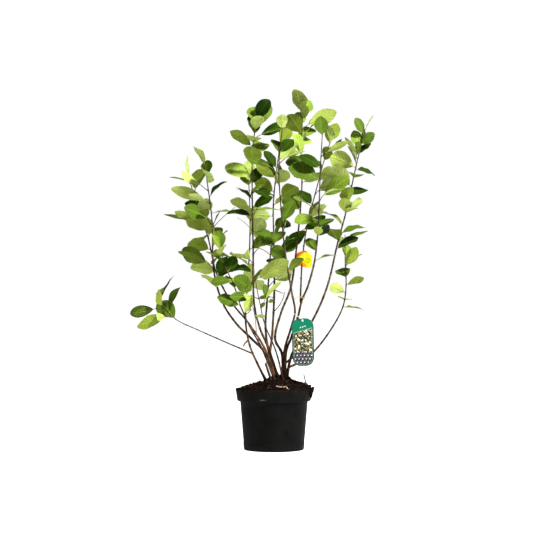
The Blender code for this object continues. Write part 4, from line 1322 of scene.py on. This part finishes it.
# %% Crumbs and spill
PEAT_SEED = 90
CRUMBS, CRUMB_FIELD = 1300, 0.1065
CRUMB_LEAST, CRUMB_SPREAD, CRUMB_POWER, CRUMB_LIFT = 0.0026, 0.0080, 2.6, 0.12
CRUMB_RINGS, CRUMB_SIDES = 5, 6
CRUMB_LUMPS, CRUMB_FLATNESS, CRUMB_NARROWNESS = (0.72, 1.18), (0.6, 1.0), (0.7, 1.0)
SPILL_CRUMBS, SPILL_ANGLE, SPILL_SPREAD = 110, math.radians(-12.0), 0.17
SPILL_TOP, SPILL_FALL, SPILL_POWER = 0.1820, 0.0290, 1.2
SPILL_RADIUS, SPILL_HEAP, SPILL_DRAWN_IN = 0.1120, 0.0055, 0.0010
SPILL_SIZE, SPILL_SIZES = 0.0080, (0.5, 1.0)
SPILL_NARROWING, SPILL_SHRINKING = 0.6, 0.45


def crumb(centre, size, rng):
    """A lumpy pebble: a sphere of 6 by 4 faces with a random radius at each corner."""
    theta = np.linspace(0, math.pi, CRUMB_RINGS)[:, None]
    phi = np.arange(CRUMB_SIDES)[None, :] * 2 * math.pi / CRUMB_SIDES + rng.uniform(0, 1)
    radius = size / 2 * rng.uniform(*CRUMB_LUMPS, (CRUMB_RINGS, CRUMB_SIDES))
    radius[[0, -1]] = size / 2
    flat = rng.uniform(*CRUMB_FLATNESS)
    x = radius * np.sin(theta) * np.cos(phi)
    y = radius * np.sin(theta) * np.sin(phi) * rng.uniform(*CRUMB_NARROWNESS)
    z = radius * np.cos(theta) * np.ones_like(phi) * flat
    return np.asarray(centre) + np.stack([x, y, z], axis=-1)


rng = np.random.default_rng(PEAT_SEED)
crumbs = Heap()
for _ in range(CRUMBS):
    radius, angle = CRUMB_FIELD * math.sqrt(rng.random()), rng.uniform(0, 2 * math.pi)
    x, y = radius * math.cos(angle), radius * math.sin(angle)
    size = CRUMB_LEAST + CRUMB_SPREAD * rng.random() ** CRUMB_POWER
    centre = (x, y, float(soil_height(x, y)) + size * CRUMB_LIFT)
    crumbs.add(crumb(centre, size, rng), ring=True, flip=True)
for _ in range(SPILL_CRUMBS):
    drop = rng.random() ** SPILL_POWER
    angle = SPILL_ANGLE + rng.normal(0, SPILL_SPREAD) * (1 - SPILL_NARROWING * drop)
    radius = SPILL_RADIUS + SPILL_HEAP * (1 - drop) * rng.random() - SPILL_DRAWN_IN * drop
    height = SPILL_TOP - SPILL_FALL * drop
    size = SPILL_SIZE * (1 - SPILL_SHRINKING * drop) * rng.uniform(*SPILL_SIZES)
    centre = (radius * math.cos(angle), radius * math.sin(angle), height)
    crumbs.add(crumb(centre, size, rng), ring=True, flip=True)
print("crumbs:", CRUMBS + SPILL_CRUMBS)

# %% [markdown]
# Peat is full of fine fibres. Hair could be grown on the mound, but it would hide the crumbs,
# and it is no surface that can be exported. Ninety thin bent tubes are enough to break up the
# dark. One pale root lies on top and a straw stands by the rim.

# %% Fibres, root and straw
FIBRES, FIBRE_FIELD = 90, 0.100
FIBRE_LENGTHS, FIBRE_RADII = (0.008, 0.024), (0.0002, 0.0005)
FIBRE_POINTS, FIBRE_BEND, FIBRE_LIFT, FIBRE_ARCH = 7, 1.2, 0.0012, 0.004
ROOT_STRIP = Route((
    (0.006, -0.083, 0), (0.018, -0.086, 0), (0.031, -0.088, 0), (0.039, -0.093, 0),
    (0.042, -0.099, 0),
))
ROOT_RADIUS, ROOT_LIFT = 0.0020, 0.0022
STRAW = Route((
    (0.093, -0.020, 0.186), (0.092, -0.021, 0.199), (0.089, -0.022, 0.212),
    (0.087, -0.024, 0.222),
))
STRAW_RADII = (0.0021, 0.0014)
LONG_POINTS = 26
fibres = Heap()
for _ in range(FIBRES):
    radius, angle = FIBRE_FIELD * math.sqrt(rng.random()), rng.uniform(0, 2 * math.pi)
    length, heading = rng.uniform(*FIBRE_LENGTHS), rng.uniform(0, 2 * math.pi)
    t = np.linspace(-0.5, 0.5, FIBRE_POINTS)
    bend = rng.uniform(-FIBRE_BEND, FIBRE_BEND)
    x = radius * math.cos(angle) + length * t * np.cos(heading + bend * t)
    y = radius * math.sin(angle) + length * t * np.sin(heading + bend * t)
    z = soil_height(x, y) + FIBRE_LIFT + FIBRE_ARCH * rng.random() * np.cos(math.pi * t)
    radii = [rng.uniform(*FIBRE_RADII)] * FIBRE_POINTS
    fibres.add(closed_rings(np.stack([x, y, z], axis=-1), radii, 5), ring=True)
along = np.linspace(0, 1, LONG_POINTS)
strip = ROOT_STRIP.at(along)
strip[:, 2] = soil_height(strip[:, 0], strip[:, 1]) + ROOT_LIFT
thick = ROOT_RADIUS * np.sin(math.pi * (0.12 + 0.80 * along)) ** 0.6
root_heap = Heap()
root_heap.add(closed_rings(strip, thick, 10), ring=True)
fibres.add(closed_rings(STRAW.at(along), np.linspace(*STRAW_RADII, LONG_POINTS), 7), ring=True)
print("fibres and the straw:", FIBRES + 1)

# %% Peat finishes
peat_finish = Finish("peat")
spot = peat_finish.place()
clods = peat_finish.noise(spot, 160.0, 4.0, 0.7)
grit = peat_finish.noise(spot, 900.0, 3.0, 0.7)
damp = peat_finish.noise(spot, 28.0, 2.0)
colour = peat_finish.mix(clods.rise(0.35, 0.70), (0.0022, 0.0012, 0.0009), (0.0125, 0.0060, 0.0034))
colour = peat_finish.mix(damp.rise(0.45, 0.75) * 0.6, colour, (0.024, 0.009, 0.004))
colour = peat_finish.mix(grit.rise(0.68, 0.80) * 0.55, colour, (0.052, 0.026, 0.014))
peat_finish.feed(base_color=colour, roughness=grit * 0.2 + 0.78, specular_ior_level=0.06)
peat_finish.bump(clods * 0.6 + grit * 0.5, 0.9, 0.0016)

fibre_finish = speckled(
    "fibre", 35.0, 2.0, (0.024, 0.014, 0.009), (0.100, 0.062, 0.038),
    rough=(0.2, 0.7), span=(0.4, 0.6),
)
root_finish = speckled(
    "pale_root", 260.0, 4.0, (0.520, 0.250, 0.160), (0.900, 0.680, 0.520),
    rough=(0.2, 0.5), relief=(0.5, 0.0005), span=(0.35, 0.65),
)
peat.piece("peat", (peat_finish.material,), "soil", ("soil",), 70.0)
crumbs.piece("peat_crumbs", (peat_finish.material,), "soil", (), 40.0)
fibres.piece("peat_fibres", (fibre_finish,), "soil", (), 60.0)
root_heap.piece("pale_root", (root_finish,), "soil", (), 60.0)

# %% [markdown]
# ## The pot
#
# A nursery pot is moulded from black recycled plastic: a thin tapering wall, a broad stiff
# band at the rim with a rolled lip, a low step above the foot, and drain holes. A Screw
# modifier would turn it too. Here the profile is an array of (radius, height) and the lathe
# is one product of arrays, so both faces of the wall, its floor and its foot are one closed
# skin.

# %% Turn the pot
POT_COLUMNS = 144
FLOOR_UNDER, FLOOR_TOP = 0.0016, 0.0031
POT_PROFILE = (
    (0.0300, 0.0016), (0.0315, 0.0001), (0.0560, 0.0001), (0.0572, 0.0010), (0.0668, 0.0010),
    (0.0680, 0.0001), (0.0855, 0.0001), (0.0868, 0.0004), (0.0877, 0.0014), (0.0882, 0.0030),
    (0.0897, 0.0210), (0.0896, 0.0217), (0.0893, 0.0223), (0.0894, 0.0232), (0.0909, 0.0410),
    (0.0932, 0.0700), (0.0955, 0.0980), (0.0975, 0.1230), (0.0991, 0.1416), (0.0998, 0.1428),
    (0.1060, 0.1434), (0.1071, 0.1438), (0.1077, 0.1450), (0.1081, 0.1466), (0.1098, 0.1580),
    (0.1114, 0.1690), (0.1120, 0.1728), (0.1127, 0.1736), (0.1130, 0.1752), (0.1129, 0.1774),
    (0.1124, 0.1786), (0.1115, 0.1790), (0.1109, 0.1784), (0.1106, 0.1765), (0.1094, 0.1680),
    (0.1070, 0.1500), (0.1058, 0.1456), (0.1040, 0.1450), (0.0982, 0.1448), (0.0973, 0.1430),
    (0.0965, 0.1330), (0.0915, 0.0700), (0.0868, 0.0100), (0.0862, 0.0040), (0.0850, 0.0031),
    (0.0500, 0.0031),
)
profile = np.array(POT_PROFILE)
turns = np.arange(POT_COLUMNS) * 2 * math.pi / POT_COLUMNS
level = np.repeat(profile[:, 1:], POT_COLUMNS, 1)
turned_wall = [profile[:, :1] * np.cos(turns), profile[:, :1] * np.sin(turns), level]
ends = [pole(height, POT_COLUMNS) for height in (FLOOR_UNDER, FLOOR_TOP)]
pot_heap = Heap()
pot_heap.add(np.concatenate([ends[0], np.stack(turned_wall, axis=-1), ends[1]]), ring=True)
print("pot rings:", len(profile))

# %% Pot finish
# Painted highlight: a pale smeared patch on the front of the rim band, in place of a highlight.
HIGHLIGHT_CENTRE, HIGHLIGHT_SIZE = (-0.032, 0.1512), (0.014, 0.0020)
pot_finish = Finish("black_plastic")
spot = pot_finish.place()
x, y, z = pot_finish.split(spot)
moulded = pot_finish.noise(spot, 1300.0, 2.0)
cloud = pot_finish.noise(spot, 26.0, 4.0, 0.6)
scratch = pot_finish.noise(pot_finish.join(x * 60.0, y * 60.0, z * 1500.0), 1.0, 2.0)
dust = pot_finish.noise(spot, 120.0, 4.0, 0.7)
rim_dust = z.rise(0.160, 0.180) * dust.rise(0.42, 0.66)
foot_dust = z.rise(0.030, 0.0) * dust.rise(0.40, 0.70)
highlight_x = ((x - HIGHLIGHT_CENTRE[0]) / HIGHLIGHT_SIZE[0]) ** 2.0
highlight_z = ((z - HIGHLIGHT_CENTRE[1]) / HIGHLIGHT_SIZE[1]) ** 2.0
painted_highlight = (highlight_x + highlight_z).rise(1.0, 0.1) * y.rise(0.0, -0.05) * dust.rise(0.35, 0.60)
colour = pot_finish.mix(cloud.rise(0.30, 0.70), (0.0024, 0.0024, 0.0023), (0.0054, 0.0053, 0.0050))
colour = pot_finish.mix(scratch.rise(0.66, 0.80) * 0.35, colour, (0.028, 0.028, 0.028))
colour = pot_finish.mix(rim_dust * 0.7, colour, (0.018, 0.011, 0.007))
colour = pot_finish.mix(foot_dust * 0.5, colour, (0.022, 0.019, 0.016))
# The painted highlight goes on pale here.
colour = pot_finish.mix(painted_highlight * 0.6, colour, (0.150, 0.145, 0.135))
rough = cloud * 0.25 + 0.42 + rim_dust * 0.2
pot_finish.feed(base_color=colour, roughness=rough, specular_ior_level=0.05)
pot_finish.bump(moulded * 0.6 + scratch * 0.3 + cloud * 0.5, 0.25, 0.0008)
pot = pot_heap.piece("nursery_pot", (pot_finish.material,), "pot", ("pot",), 30.0)

# %% [markdown]
# Drain holes stand in a ring in the pot's floor. They show only from below, but they are part
# of the solid too. Six cylinders are cut out one after another with an exact Boolean, which
# keeps the floor's two faces joined round each hole.

# %% Drain holes
DRAIN_HOLES = 6
DRAIN_RADIUS, DRAIN_RING, DRILL_LENGTH = 0.0055, 0.062, 0.02
DRILL_TURN = 0.06  # keeps the drill's edges off the pot's own, so the cut stays clean
for hole in range(DRAIN_HOLES):
    angle = (hole + 0.5) * 2 * math.pi / DRAIN_HOLES
    bpy.ops.mesh.primitive_cylinder_add(
        vertices=24, radius=DRAIN_RADIUS, depth=DRILL_LENGTH,
        rotation=(0.0, 0.0, angle + DRILL_TURN),
        location=(DRAIN_RING * math.cos(angle), DRAIN_RING * math.sin(angle), 0.0),
    )
    drill = bpy.context.object
    cut = pot.modifiers.new("drain", "BOOLEAN")
    cut.operation, cut.solver, cut.object = "DIFFERENCE", "EXACT", drill
    bpy.context.view_layer.update()
    solved = pot.evaluated_get(bpy.context.evaluated_depsgraph_get())
    drilled = bpy.data.meshes.new_from_object(solved)
    pot.modifiers.clear()
    pot.data = drilled
    bpy.data.objects.remove(drill, do_unlink=True)
print("pot faces after drilling:", len(pot.data.polygons))

# %% [markdown]
# ## Care label, ring, paper band and tie
#
# The label is a stiff printed plastic plate with wide round corners and a punched hole. A
# curve with a hole could be filled and extruded, but its bow would need more points inside
# the face. Here the face is a band of grid rows that run from the hole out to the edge, so
# plate and hole are one closed surface that bends smoothly.
#
# The print is plain: a slanting green head with three dots, a mottled field, and rows of
# dark discs. It is worked out from the place on the plate, so it stays sharp at any size
# and needs no picture.

# %% Care label
LABEL_CENTRE = np.array((0.0840, -0.0650, 0.3170))
LABEL_HALF = (0.0315, 0.0690)
LABEL_CORNER = 0.0240
LABEL_HALF_THICKNESS = 0.00032
LABEL_TILT = math.radians(1.0)
HOLE_UP, HOLE_RADIUS = 0.0625, 0.0032
LABEL_BOW = 0.0010
BOW_END = 0.05  # the bow is whole below the plate's middle and gone this far above it
BEVEL = 0.0002
LABEL_COLUMNS, LABEL_ROWS = 160, 12


def label_edge(turns):
    """Where rays from the hole's centre meet the rounded edge, found by halving."""
    ways = np.stack([np.cos(turns), np.sin(turns)], axis=-1)
    near, far = np.zeros(len(turns)), np.full(len(turns), 0.2)
    for _ in range(40):
        middle = (near + far) / 2
        spot = np.abs(np.array((0.0, HOLE_UP)) + ways * middle[:, None])
        beyond = np.maximum(spot - (np.array(LABEL_HALF) - LABEL_CORNER), 0)
        inside = np.hypot(beyond[:, 0], beyond[:, 1]) < LABEL_CORNER
        near, far = np.where(inside, middle, near), np.where(inside, far, middle)
    return ways, near


def label_place(flat, depth):
    """A place on the plate in the plant's own axes: upright, tilted and bowed a little."""
    across, up = flat[..., 0], flat[..., 1]
    cos, sin = math.cos(LABEL_TILT), math.sin(LABEL_TILT)
    bow = LABEL_BOW * ((across / LABEL_HALF[0]) ** 2 - 0.5) * np.clip(1 - up / BOW_END, 0, 1)
    place = [across * cos - up * sin, depth + bow, across * sin + up * cos]
    return LABEL_CENTRE + np.stack(place, -1)


print("label:", 2 * LABEL_HALF[0], "by", 2 * LABEL_HALF[1], "m")

# %% The plate
ROW_POWER = 1.4  # sets the rows closer together near the hole
RIM_SHARE = 0.4  # how much of the thickness stands at the full outline, between two bevels
FRONT, BACK, EDGE = 0, 1, 2
turns = np.arange(LABEL_COLUMNS) * 2 * math.pi / LABEL_COLUMNS
ways, reach = label_edge(turns)
rows = np.linspace(0, 1, LABEL_ROWS)[:, None] ** ROW_POWER
distance = HOLE_RADIUS + (reach - HOLE_RADIUS)[None, :] * rows
face = np.array((0.0, HOLE_UP)) + ways[None] * distance[..., None]
thin = LABEL_HALF_THICKNESS
inset = np.array((0.0, HOLE_UP)) + ways * (reach - BEVEL)[:, None]
front, back = label_place(face, -thin), label_place(face, thin)
front[-1], back[-1] = label_place(inset, -thin), label_place(inset, thin)
outside = [label_place(face[-1], depth) for depth in (-thin * RIM_SHARE, thin * RIM_SHARE)]
rim = np.stack([front[-1], *outside, back[-1]])
hole_wall = np.stack([back[0], front[0]])
label = Heap()
for grid, kind in ((front, FRONT), (rim, EDGE), (back[::-1], BACK), (hole_wall, EDGE)):
    label.add(grid, ring=True, kind=kind, flip=True)
print("label's longest ray:", round(float(reach.max()), 4))

# %% The print
HEAD_UP, HEAD_SLANT = 0.0335, 0.28
DOTS_UP, FRUIT_BELOW = 0.0440, -0.026
GREEN, DARK_GREEN, PALE = (0.001, 0.150, 0.074), (0.004, 0.040, 0.022), (0.70, 0.76, 0.72)


def fruit(finish, across, up, grain):
    """Rows of dark discs with a glint each; every other row is shifted by half a disc."""
    row = (up * 100.0).maths("ROUND")
    column_off = (across * 96.0 + row * 0.5).maths("FRACT") - 0.5
    row_off = up * 100.0 - row
    disc = (column_off * column_off + row_off * row_off).rise(0.21, 0.17)
    glint_x, glint_y = column_off + 0.14, row_off - 0.14
    glint = (glint_x * glint_x + glint_y * glint_y).rise(0.044, 0.020)
    plum = finish.mix(grain, (0.004, 0.002, 0.016), (0.026, 0.012, 0.080))
    plum = finish.mix(glint, plum, (0.700, 0.680, 0.720))
    return finish.mix(disc, (0.080, 0.095, 0.042), plum)


def field(finish, across, up, grain):
    """Mottled leaves and pale petals, with the rows of fruit below them."""
    leafy = finish.noise(finish.join(across * 140.0, up * 140.0, 0.0), 1.0, 3.0, 0.7)
    petals = finish.cells(finish.join(across * 125.0, up * 125.0, 3.0), 1.0)
    colour = finish.mix(leafy.rise(0.48, 0.56), (0.008, 0.022, 0.006), (0.260, 0.210, 0.110))
    colour = finish.mix(petals.rise(0.40, 0.30), colour, (0.820, 0.800, 0.620))
    low = up.rise(FRUIT_BELOW, FRUIT_BELOW - 0.005)
    return finish.mix(low, colour, fruit(finish, across, up, grain))


def front_print(finish, across, up, out, grain):
    """The slanting green head with its dots, and the border round the field."""
    slant = up - across * HEAD_SLANT
    head = slant.rise(HEAD_UP, HEAD_UP + 0.0005)
    inside = out.rise(0.0200, 0.0196)
    head_green = finish.mix(out.rise(0.0215, 0.0240) * 0.5, GREEN, DARK_GREEN)
    border = finish.mix(head, DARK_GREEN, head_green)
    colour = finish.mix(inside * (1.0 - head), border, field(finish, across, up, grain))
    dot_up = (slant - DOTS_UP) * 330.0
    dot_across = (across * 150.0 + 0.5).maths("FRACT") - 0.5
    dots = (dot_up * dot_up + dot_across * dot_across * 5.0).rise(0.42, 0.28)
    dots = dots * across.size().rise(0.0102, 0.0098)
    line = out.rise(0.0187, 0.0191) * inside * (1.0 - head)
    seam = (slant - HEAD_UP).size().rise(0.0012, 0.0008) * inside
    colour = finish.mix(line.most(seam) * 0.6, colour, (0.30, 0.48, 0.36))
    return finish.mix(dots, colour, PALE)


print("the head starts", HEAD_UP, "m above the plate's middle")


# %% The printed faces
def label_print(name, is_front):
    """One face. A place is known by how far it lies across, up, and out from a rounded core."""
    finish = Finish(name)
    x, y, z = finish.split(finish.place())
    cos, sin = math.cos(LABEL_TILT), math.sin(LABEL_TILT)
    from_x, from_z = x - float(LABEL_CENTRE[0]), z - float(LABEL_CENTRE[2])
    across, up = from_x * cos + from_z * sin, from_z * cos - from_x * sin
    over = (across.size() - (LABEL_HALF[0] - LABEL_CORNER)).most(0.0)
    above = (up.size() - (LABEL_HALF[1] - LABEL_CORNER)).most(0.0)
    out = (over * over + above * above) ** 0.5
    grain = finish.noise(finish.place(), 900.0, 2.0)
    if is_front:
        colour = front_print(finish, across, up, out, grain)
    else:
        colour = finish.mix(out.rise(0.0190, 0.0194), PALE, GREEN)
    wear = finish.noise(finish.place(), 60.0, 3.0)
    colour = finish.mix(wear * 0.01, colour, (0.5, 0.5, 0.45))
    finish.feed(base_color=colour, roughness=wear * 0.2 + 0.34, specular_ior_level=0.12)
    return finish.bump(grain + wear * 2.0, 0.08, 0.0005).material


edge_finish = Finish("label_edge")
worn = edge_finish.noise(edge_finish.place(), 300.0, 2.0)
edge_colour = edge_finish.mix(worn, (0.70, 0.78, 0.74), (0.88, 0.90, 0.88))
edge_finish.feed(base_color=edge_colour, roughness=0.4)
label_materials = (
    label_print("label_front", True), label_print("label_back", False), edge_finish.material,
)
label.piece("printed_label", label_materials, "care_label", ("care_label",), 40.0)

# %% [markdown]
# A soft wire ring hangs the plate from a stem. A torus would have to be turned and stretched
# by hand until it fits. Here the middle and the two axes are measured on the ring of the
# solids, and a rounder wire is laid along the same ellipse.

# %% Ring
RING_WIRE = 0.0008
RING_POINTS, WIRE_SIDES = 96, 10
ring_points = np.array([tuple(v.co) for v in nodes["label_ring"].data.vertices])
centre = (ring_points.min(axis=0) + ring_points.max(axis=0)) / 2
axes = np.linalg.svd(ring_points - centre, full_matrices=False)[2]
long_way, short_way = axes[0], axes[1]
long_half = np.abs((ring_points - centre) @ long_way).max() - RING_WIRE
short_half = np.abs((ring_points - centre) @ short_way).max() - RING_WIRE
t = np.arange(RING_POINTS + 1) * 2 * math.pi / RING_POINTS
cos, sin = np.cos(t)[:, None], np.sin(t)[:, None]
loop = centre + long_way * long_half * cos + short_way * short_half * sin
outward = unit(long_way * short_half * cos + short_way * long_half * sin)
p = (np.arange(WIRE_SIDES) * 2 * math.pi / WIRE_SIDES)[None, :, None]
sideways = np.cross(long_way, short_way)
wire = loop[:, None] + RING_WIRE * (outward[:, None] * np.cos(p) + sideways * np.sin(p))
ring_heap = Heap()
ring_heap.add(wire, ring=True, flip=True)
wire_finish = speckled(
    "wire", 500.0, 3.0, (0.42, 0.44, 0.42), (0.80, 0.82, 0.78),
    rough=(0.3, 0.25), relief=(0.2, 0.0002), span=(0.3, 0.7),
)
ring_heap.piece("hanging_ring", (wire_finish,), "label_ring", ("label_ring",), 60.0)

# %% [markdown]
# The band is a strip of bright paper, closed to a flat loop round one bough. A cloth
# simulation would crumple it, but it takes long and is hard to steer. Here it is two rings
# of rows, one a paper's thickness inside the other, with the same slow noise on both.

# %% Paper band
BAND_SHOOT, BAND_SHARE, BAND_SHIFT = "right_fork_bough", 0.262, 0.0035
BAND_HALF_WIDTH, BAND_HALF_DEPTH, BAND_HEIGHT = 0.0240, 0.0085, 0.0460
BAND_THICKNESS, BAND_SEAT = 0.0004, 0.0008
BAND_COLUMNS, BAND_ROWS = 96, 15
# How far the upper and the lower edge draw in towards the sides, and how sharply.
TOP_DRAW, TOP_SHARP, FOOT_DRAW, FOOT_SHARP = 0.50, 1.5, 0.45, 1.3
CRUMPLE, CRUMPLE_SEED, CRUMPLE_ROUND = 0.0011, 77, 2.0
CRUMPLE_OVER, CRUMPLE_BESIDE = (5, 70), (8, 45)
BAND_PAINTED_GLOW = 0.32  # painted light: the paper glows on its own, standing in for day-glow paper's brightness
BAND_TURN = math.radians(8.0)
route = routes[BAND_SHOOT]
shoot = next(s for s in SHOOTS if s.name == BAND_SHOOT)
band_axis = route.tangent(BAND_SHARE)
band_across = turned(unit(np.cross((0.0, 1.0, 0.0), band_axis)), band_axis, BAND_TURN)
band_depth = np.cross(band_axis, band_across)
room = BAND_HALF_DEPTH - BAND_THICKNESS - radius_at(shoot, route, BAND_SHARE) - BAND_SEAT
band_centre = route.at(BAND_SHARE) + band_across * BAND_SHIFT - band_depth * room


def band_sheet(thickness, heights):
    """One face of the band: a flat loop, crumpled, whose edges rise to a peak."""
    t = np.linspace(0, 2 * math.pi, BAND_COLUMNS + 1)[:-1]
    cos, sin = np.cos(t), np.sin(t)
    top = BAND_HEIGHT * 0.5 * (1 - TOP_DRAW * np.abs(cos) ** TOP_SHARP)
    foot = -BAND_HEIGHT * 0.5 * (1 - FOOT_DRAW * np.maximum(-cos, 0) ** FOOT_SHARP)
    level = foot + (top - foot) * heights[:, None]
    over = CRUMPLE_OVER[0] + cos * CRUMPLE_ROUND + level * CRUMPLE_OVER[1]
    beside = CRUMPLE_BESIDE[0] + sin * CRUMPLE_ROUND + level * CRUMPLE_BESIDE[1]
    crumple = CRUMPLE * rough_noise(over, beside, CRUMPLE_SEED, 2)
    wide = (BAND_HALF_WIDTH - thickness) * cos + crumple * cos
    deep = (BAND_HALF_DEPTH - thickness) * sin + crumple * sin
    flat = band_across * np.broadcast_to(wide, level.shape)[..., None]
    flat = flat + band_depth * np.broadcast_to(deep, level.shape)[..., None]
    return band_centre + flat + band_axis * level[..., None]


heights = np.linspace(0, 1, BAND_ROWS)
outer, inner = band_sheet(0.0, heights), band_sheet(BAND_THICKNESS, heights)
band = Heap()
band.add(np.concatenate([outer, inner[::-1], outer[:1]]), ring=True)
print("band's middle:", band_centre.round(4))

# %% Paper finish
band_finish = Finish("band_paper")
x, y, z = band_finish.split(band_finish.place())


def along_way(way, scale):
    """How far a place lies from the band's middle along a way, as a share of scale."""
    offset = float(np.dot(band_centre, way)) / scale
    share = [float(part) / scale for part in way]
    return x * share[0] + y * share[1] + z * share[2] - offset


side = along_way(band_across, BAND_HALF_WIDTH)
rise = along_way(band_axis, BAND_HEIGHT / 2)
blot = band_finish.noise(band_finish.place(), 130.0, 2.0)
upper = (rise * 0.9 - side * 0.9 + (blot - 0.5) * 0.7).rise(0.55, 0.75)
lower = (rise * -1.5 - side * 0.75 + (blot - 0.5) * 0.7).rise(1.0, 1.2)
fine = band_finish.noise(band_finish.place(), 900.0, 2.0)
yellow = band_finish.mix(blot.rise(0.3, 0.7), (1.0, 0.84, 0.002), (1.0, 0.96, 0.004))
orange = band_finish.mix(blot.rise(0.3, 0.7), (0.90, 0.14, 0.006), (1.0, 0.34, 0.012))
band_colour = band_finish.mix(upper.most(lower), yellow, orange)
band_finish.feed(base_color=band_colour, roughness=fine * 0.2 + 0.40)
# Painted light: the band glows by itself, though it is no lamp.
band_finish.feed(emission_color=band_colour, emission_strength=BAND_PAINTED_GLOW)
band_finish.bump(blot + fine * 0.3, 0.35, 0.0010)
band.piece("marker_band", (band_finish.material,), "paper_band", ("paper_band",), 60.0)

# %% [markdown]
# A short string is tied round the forked stem. Its knot could be modelled strand by strand,
# but it is only a few millimetres across. A coil of rather more than one and a half turns
# and a loose tail read as the same thing.

# %% Tie
TIE_SHOOT, TIE_SHARE = "right_forked", 0.335
TIE_RADIUS, COIL_RADIUS, COIL_RISE, COIL_TURN = 0.0008, 0.0062, 0.0012, 3.2 * math.pi
COIL_POINTS, TAIL_POINTS = 60, 24
TAIL = ((-0.008, -0.006, 0.002), (-0.015, -0.008, -0.003), (-0.021, -0.006, -0.009))
TAIL_START = 0.03
knot = routes[TIE_SHOOT].at(TIE_SHARE)
t = np.linspace(0, COIL_TURN, COIL_POINTS)[:, None]
turns_round = knot + np.array((COIL_RADIUS, 0, 0)) * np.cos(t)
turns_round = turns_round + np.array((0, COIL_RADIUS, 0)) * np.sin(t)
turns_round = turns_round + np.array((0, 0, COIL_RISE)) * t / math.pi
tail_root = turns_round[-1]
tail_route = Route((tuple(tail_root), *(tuple(tail_root + step) for step in TAIL)))
tail = tail_route.at(np.linspace(TAIL_START, 1, TAIL_POINTS))
string = np.vstack([turns_round, tail])
tie = Heap()
tie.add(closed_rings(string, [TIE_RADIUS] * len(string), 8), ring=True)
tie_finish = speckled(
    "tie_string", 700.0, 2.0, (0.50, 0.27, 0.06), (0.72, 0.48, 0.16),
    rough=(0.2, 0.45), relief=(0.4, 0.0003),
)
tie.piece("tie", (tie_finish,), "paper_band", (), 60.0)

# %% [markdown]
# ## Studio
#
# A pale floor that runs out of sight, a little light from all round, and three soft lamps.
# A curved sheet behind the plant is the usual way. Here the floor and the sky are white
# where the camera sees them straight on, and their light on the plant is set apart from
# that, so the shade under the leaves stays dark.

# %% Floor
FLOOR_SIZE, FLOOR_DROP, FLOOR_GLOW = 60.0, 0.0005, 1.00
bpy.ops.mesh.primitive_plane_add(size=FLOOR_SIZE, location=(0.0, 0.0, -FLOOR_DROP))
floor = bpy.context.object
floor.name = "floor"
floor_finish = Finish("floor_paint")
paint = floor_finish.noise(floor_finish.place(), 3.0, 2.0)
floor_colour = floor_finish.mix(paint, (0.93, 0.93, 0.93), (0.96, 0.96, 0.96))
floor_finish.feed(base_color=floor_colour, roughness=0.9)
seen = floor_finish.node("LightPath", "Is Camera Ray")
floor_finish.feed(emission_color=(1.0, 1.0, 1.0), emission_strength=seen * FLOOR_GLOW)
floor.data.materials.append(floor_finish.material)
print("floor:", FLOOR_SIZE, "m wide")

# %% Sky and lamps
ROOM_LIGHT = 0.13
world = bpy.data.worlds.new("studio")
world.use_nodes = True
backdrop = world.node_tree.nodes["Background"]
backdrop.inputs["Color"].default_value = (1.0, 1.0, 1.0, 1.0)
light_path = world.node_tree.nodes.new("ShaderNodeLightPath")
seen = Value(world.node_tree, light_path.outputs["Is Camera Ray"])
strength = seen * (1.0 - ROOM_LIGHT) + ROOM_LIGHT
connect(world.node_tree, backdrop.inputs["Strength"], strength)
bpy.context.scene.world = world

Lamp = namedtuple("Lamp", "name place size power")
LAMPS = (
    Lamp("key", (2.0, -2.4, 3.2), 0.7, 325.0),
    Lamp("fill", (-2.6, -2.6, 1.2), 2.4, 6.0),
    Lamp("back", (-0.8, 2.8, 2.6), 2.0, 50.0),
)
AIM = np.array((0.0, 0.0, 0.6))
for lamp in LAMPS:
    light = bpy.data.lights.new(lamp.name, "AREA")
    light.shape, light.size, light.energy = "DISK", lamp.size, lamp.power
    thing = bpy.data.objects.new(lamp.name, light)
    thing.visible_glossy = lamp.name == "key"
    bpy.context.scene.collection.objects.link(thing)
    way = AIM - np.array(lamp.place)
    thing.location = lamp.place
    yaw = math.atan2(way[1], way[0]) - math.pi / 2
    pitch = math.pi / 2 + math.atan2(way[2], math.hypot(way[0], way[1]))
    thing.rotation_euler = (pitch, 0.0, yaw)
print("lamps:", ", ".join(f"{lamp.name} {lamp.power} W" for lamp in LAMPS))

# %% Camera
# It looks level from the front, far off, with a long lens, so upright stems stay upright.
LENS, SENSOR = 111.7, 36.0
EYE = (0.003, -5.0, 0.511)
camera = bpy.data.cameras.new("camera")
camera.lens, camera.sensor_width = LENS, SENSOR
eye = bpy.data.objects.new("camera", camera)
eye.location, eye.rotation_euler = EYE, (math.pi / 2, 0.0, 0.0)
bpy.context.scene.collection.objects.link(eye)
bpy.context.scene.camera = eye
bpy.context.scene.view_settings.view_transform = "Standard"
print("camera at", EYE)
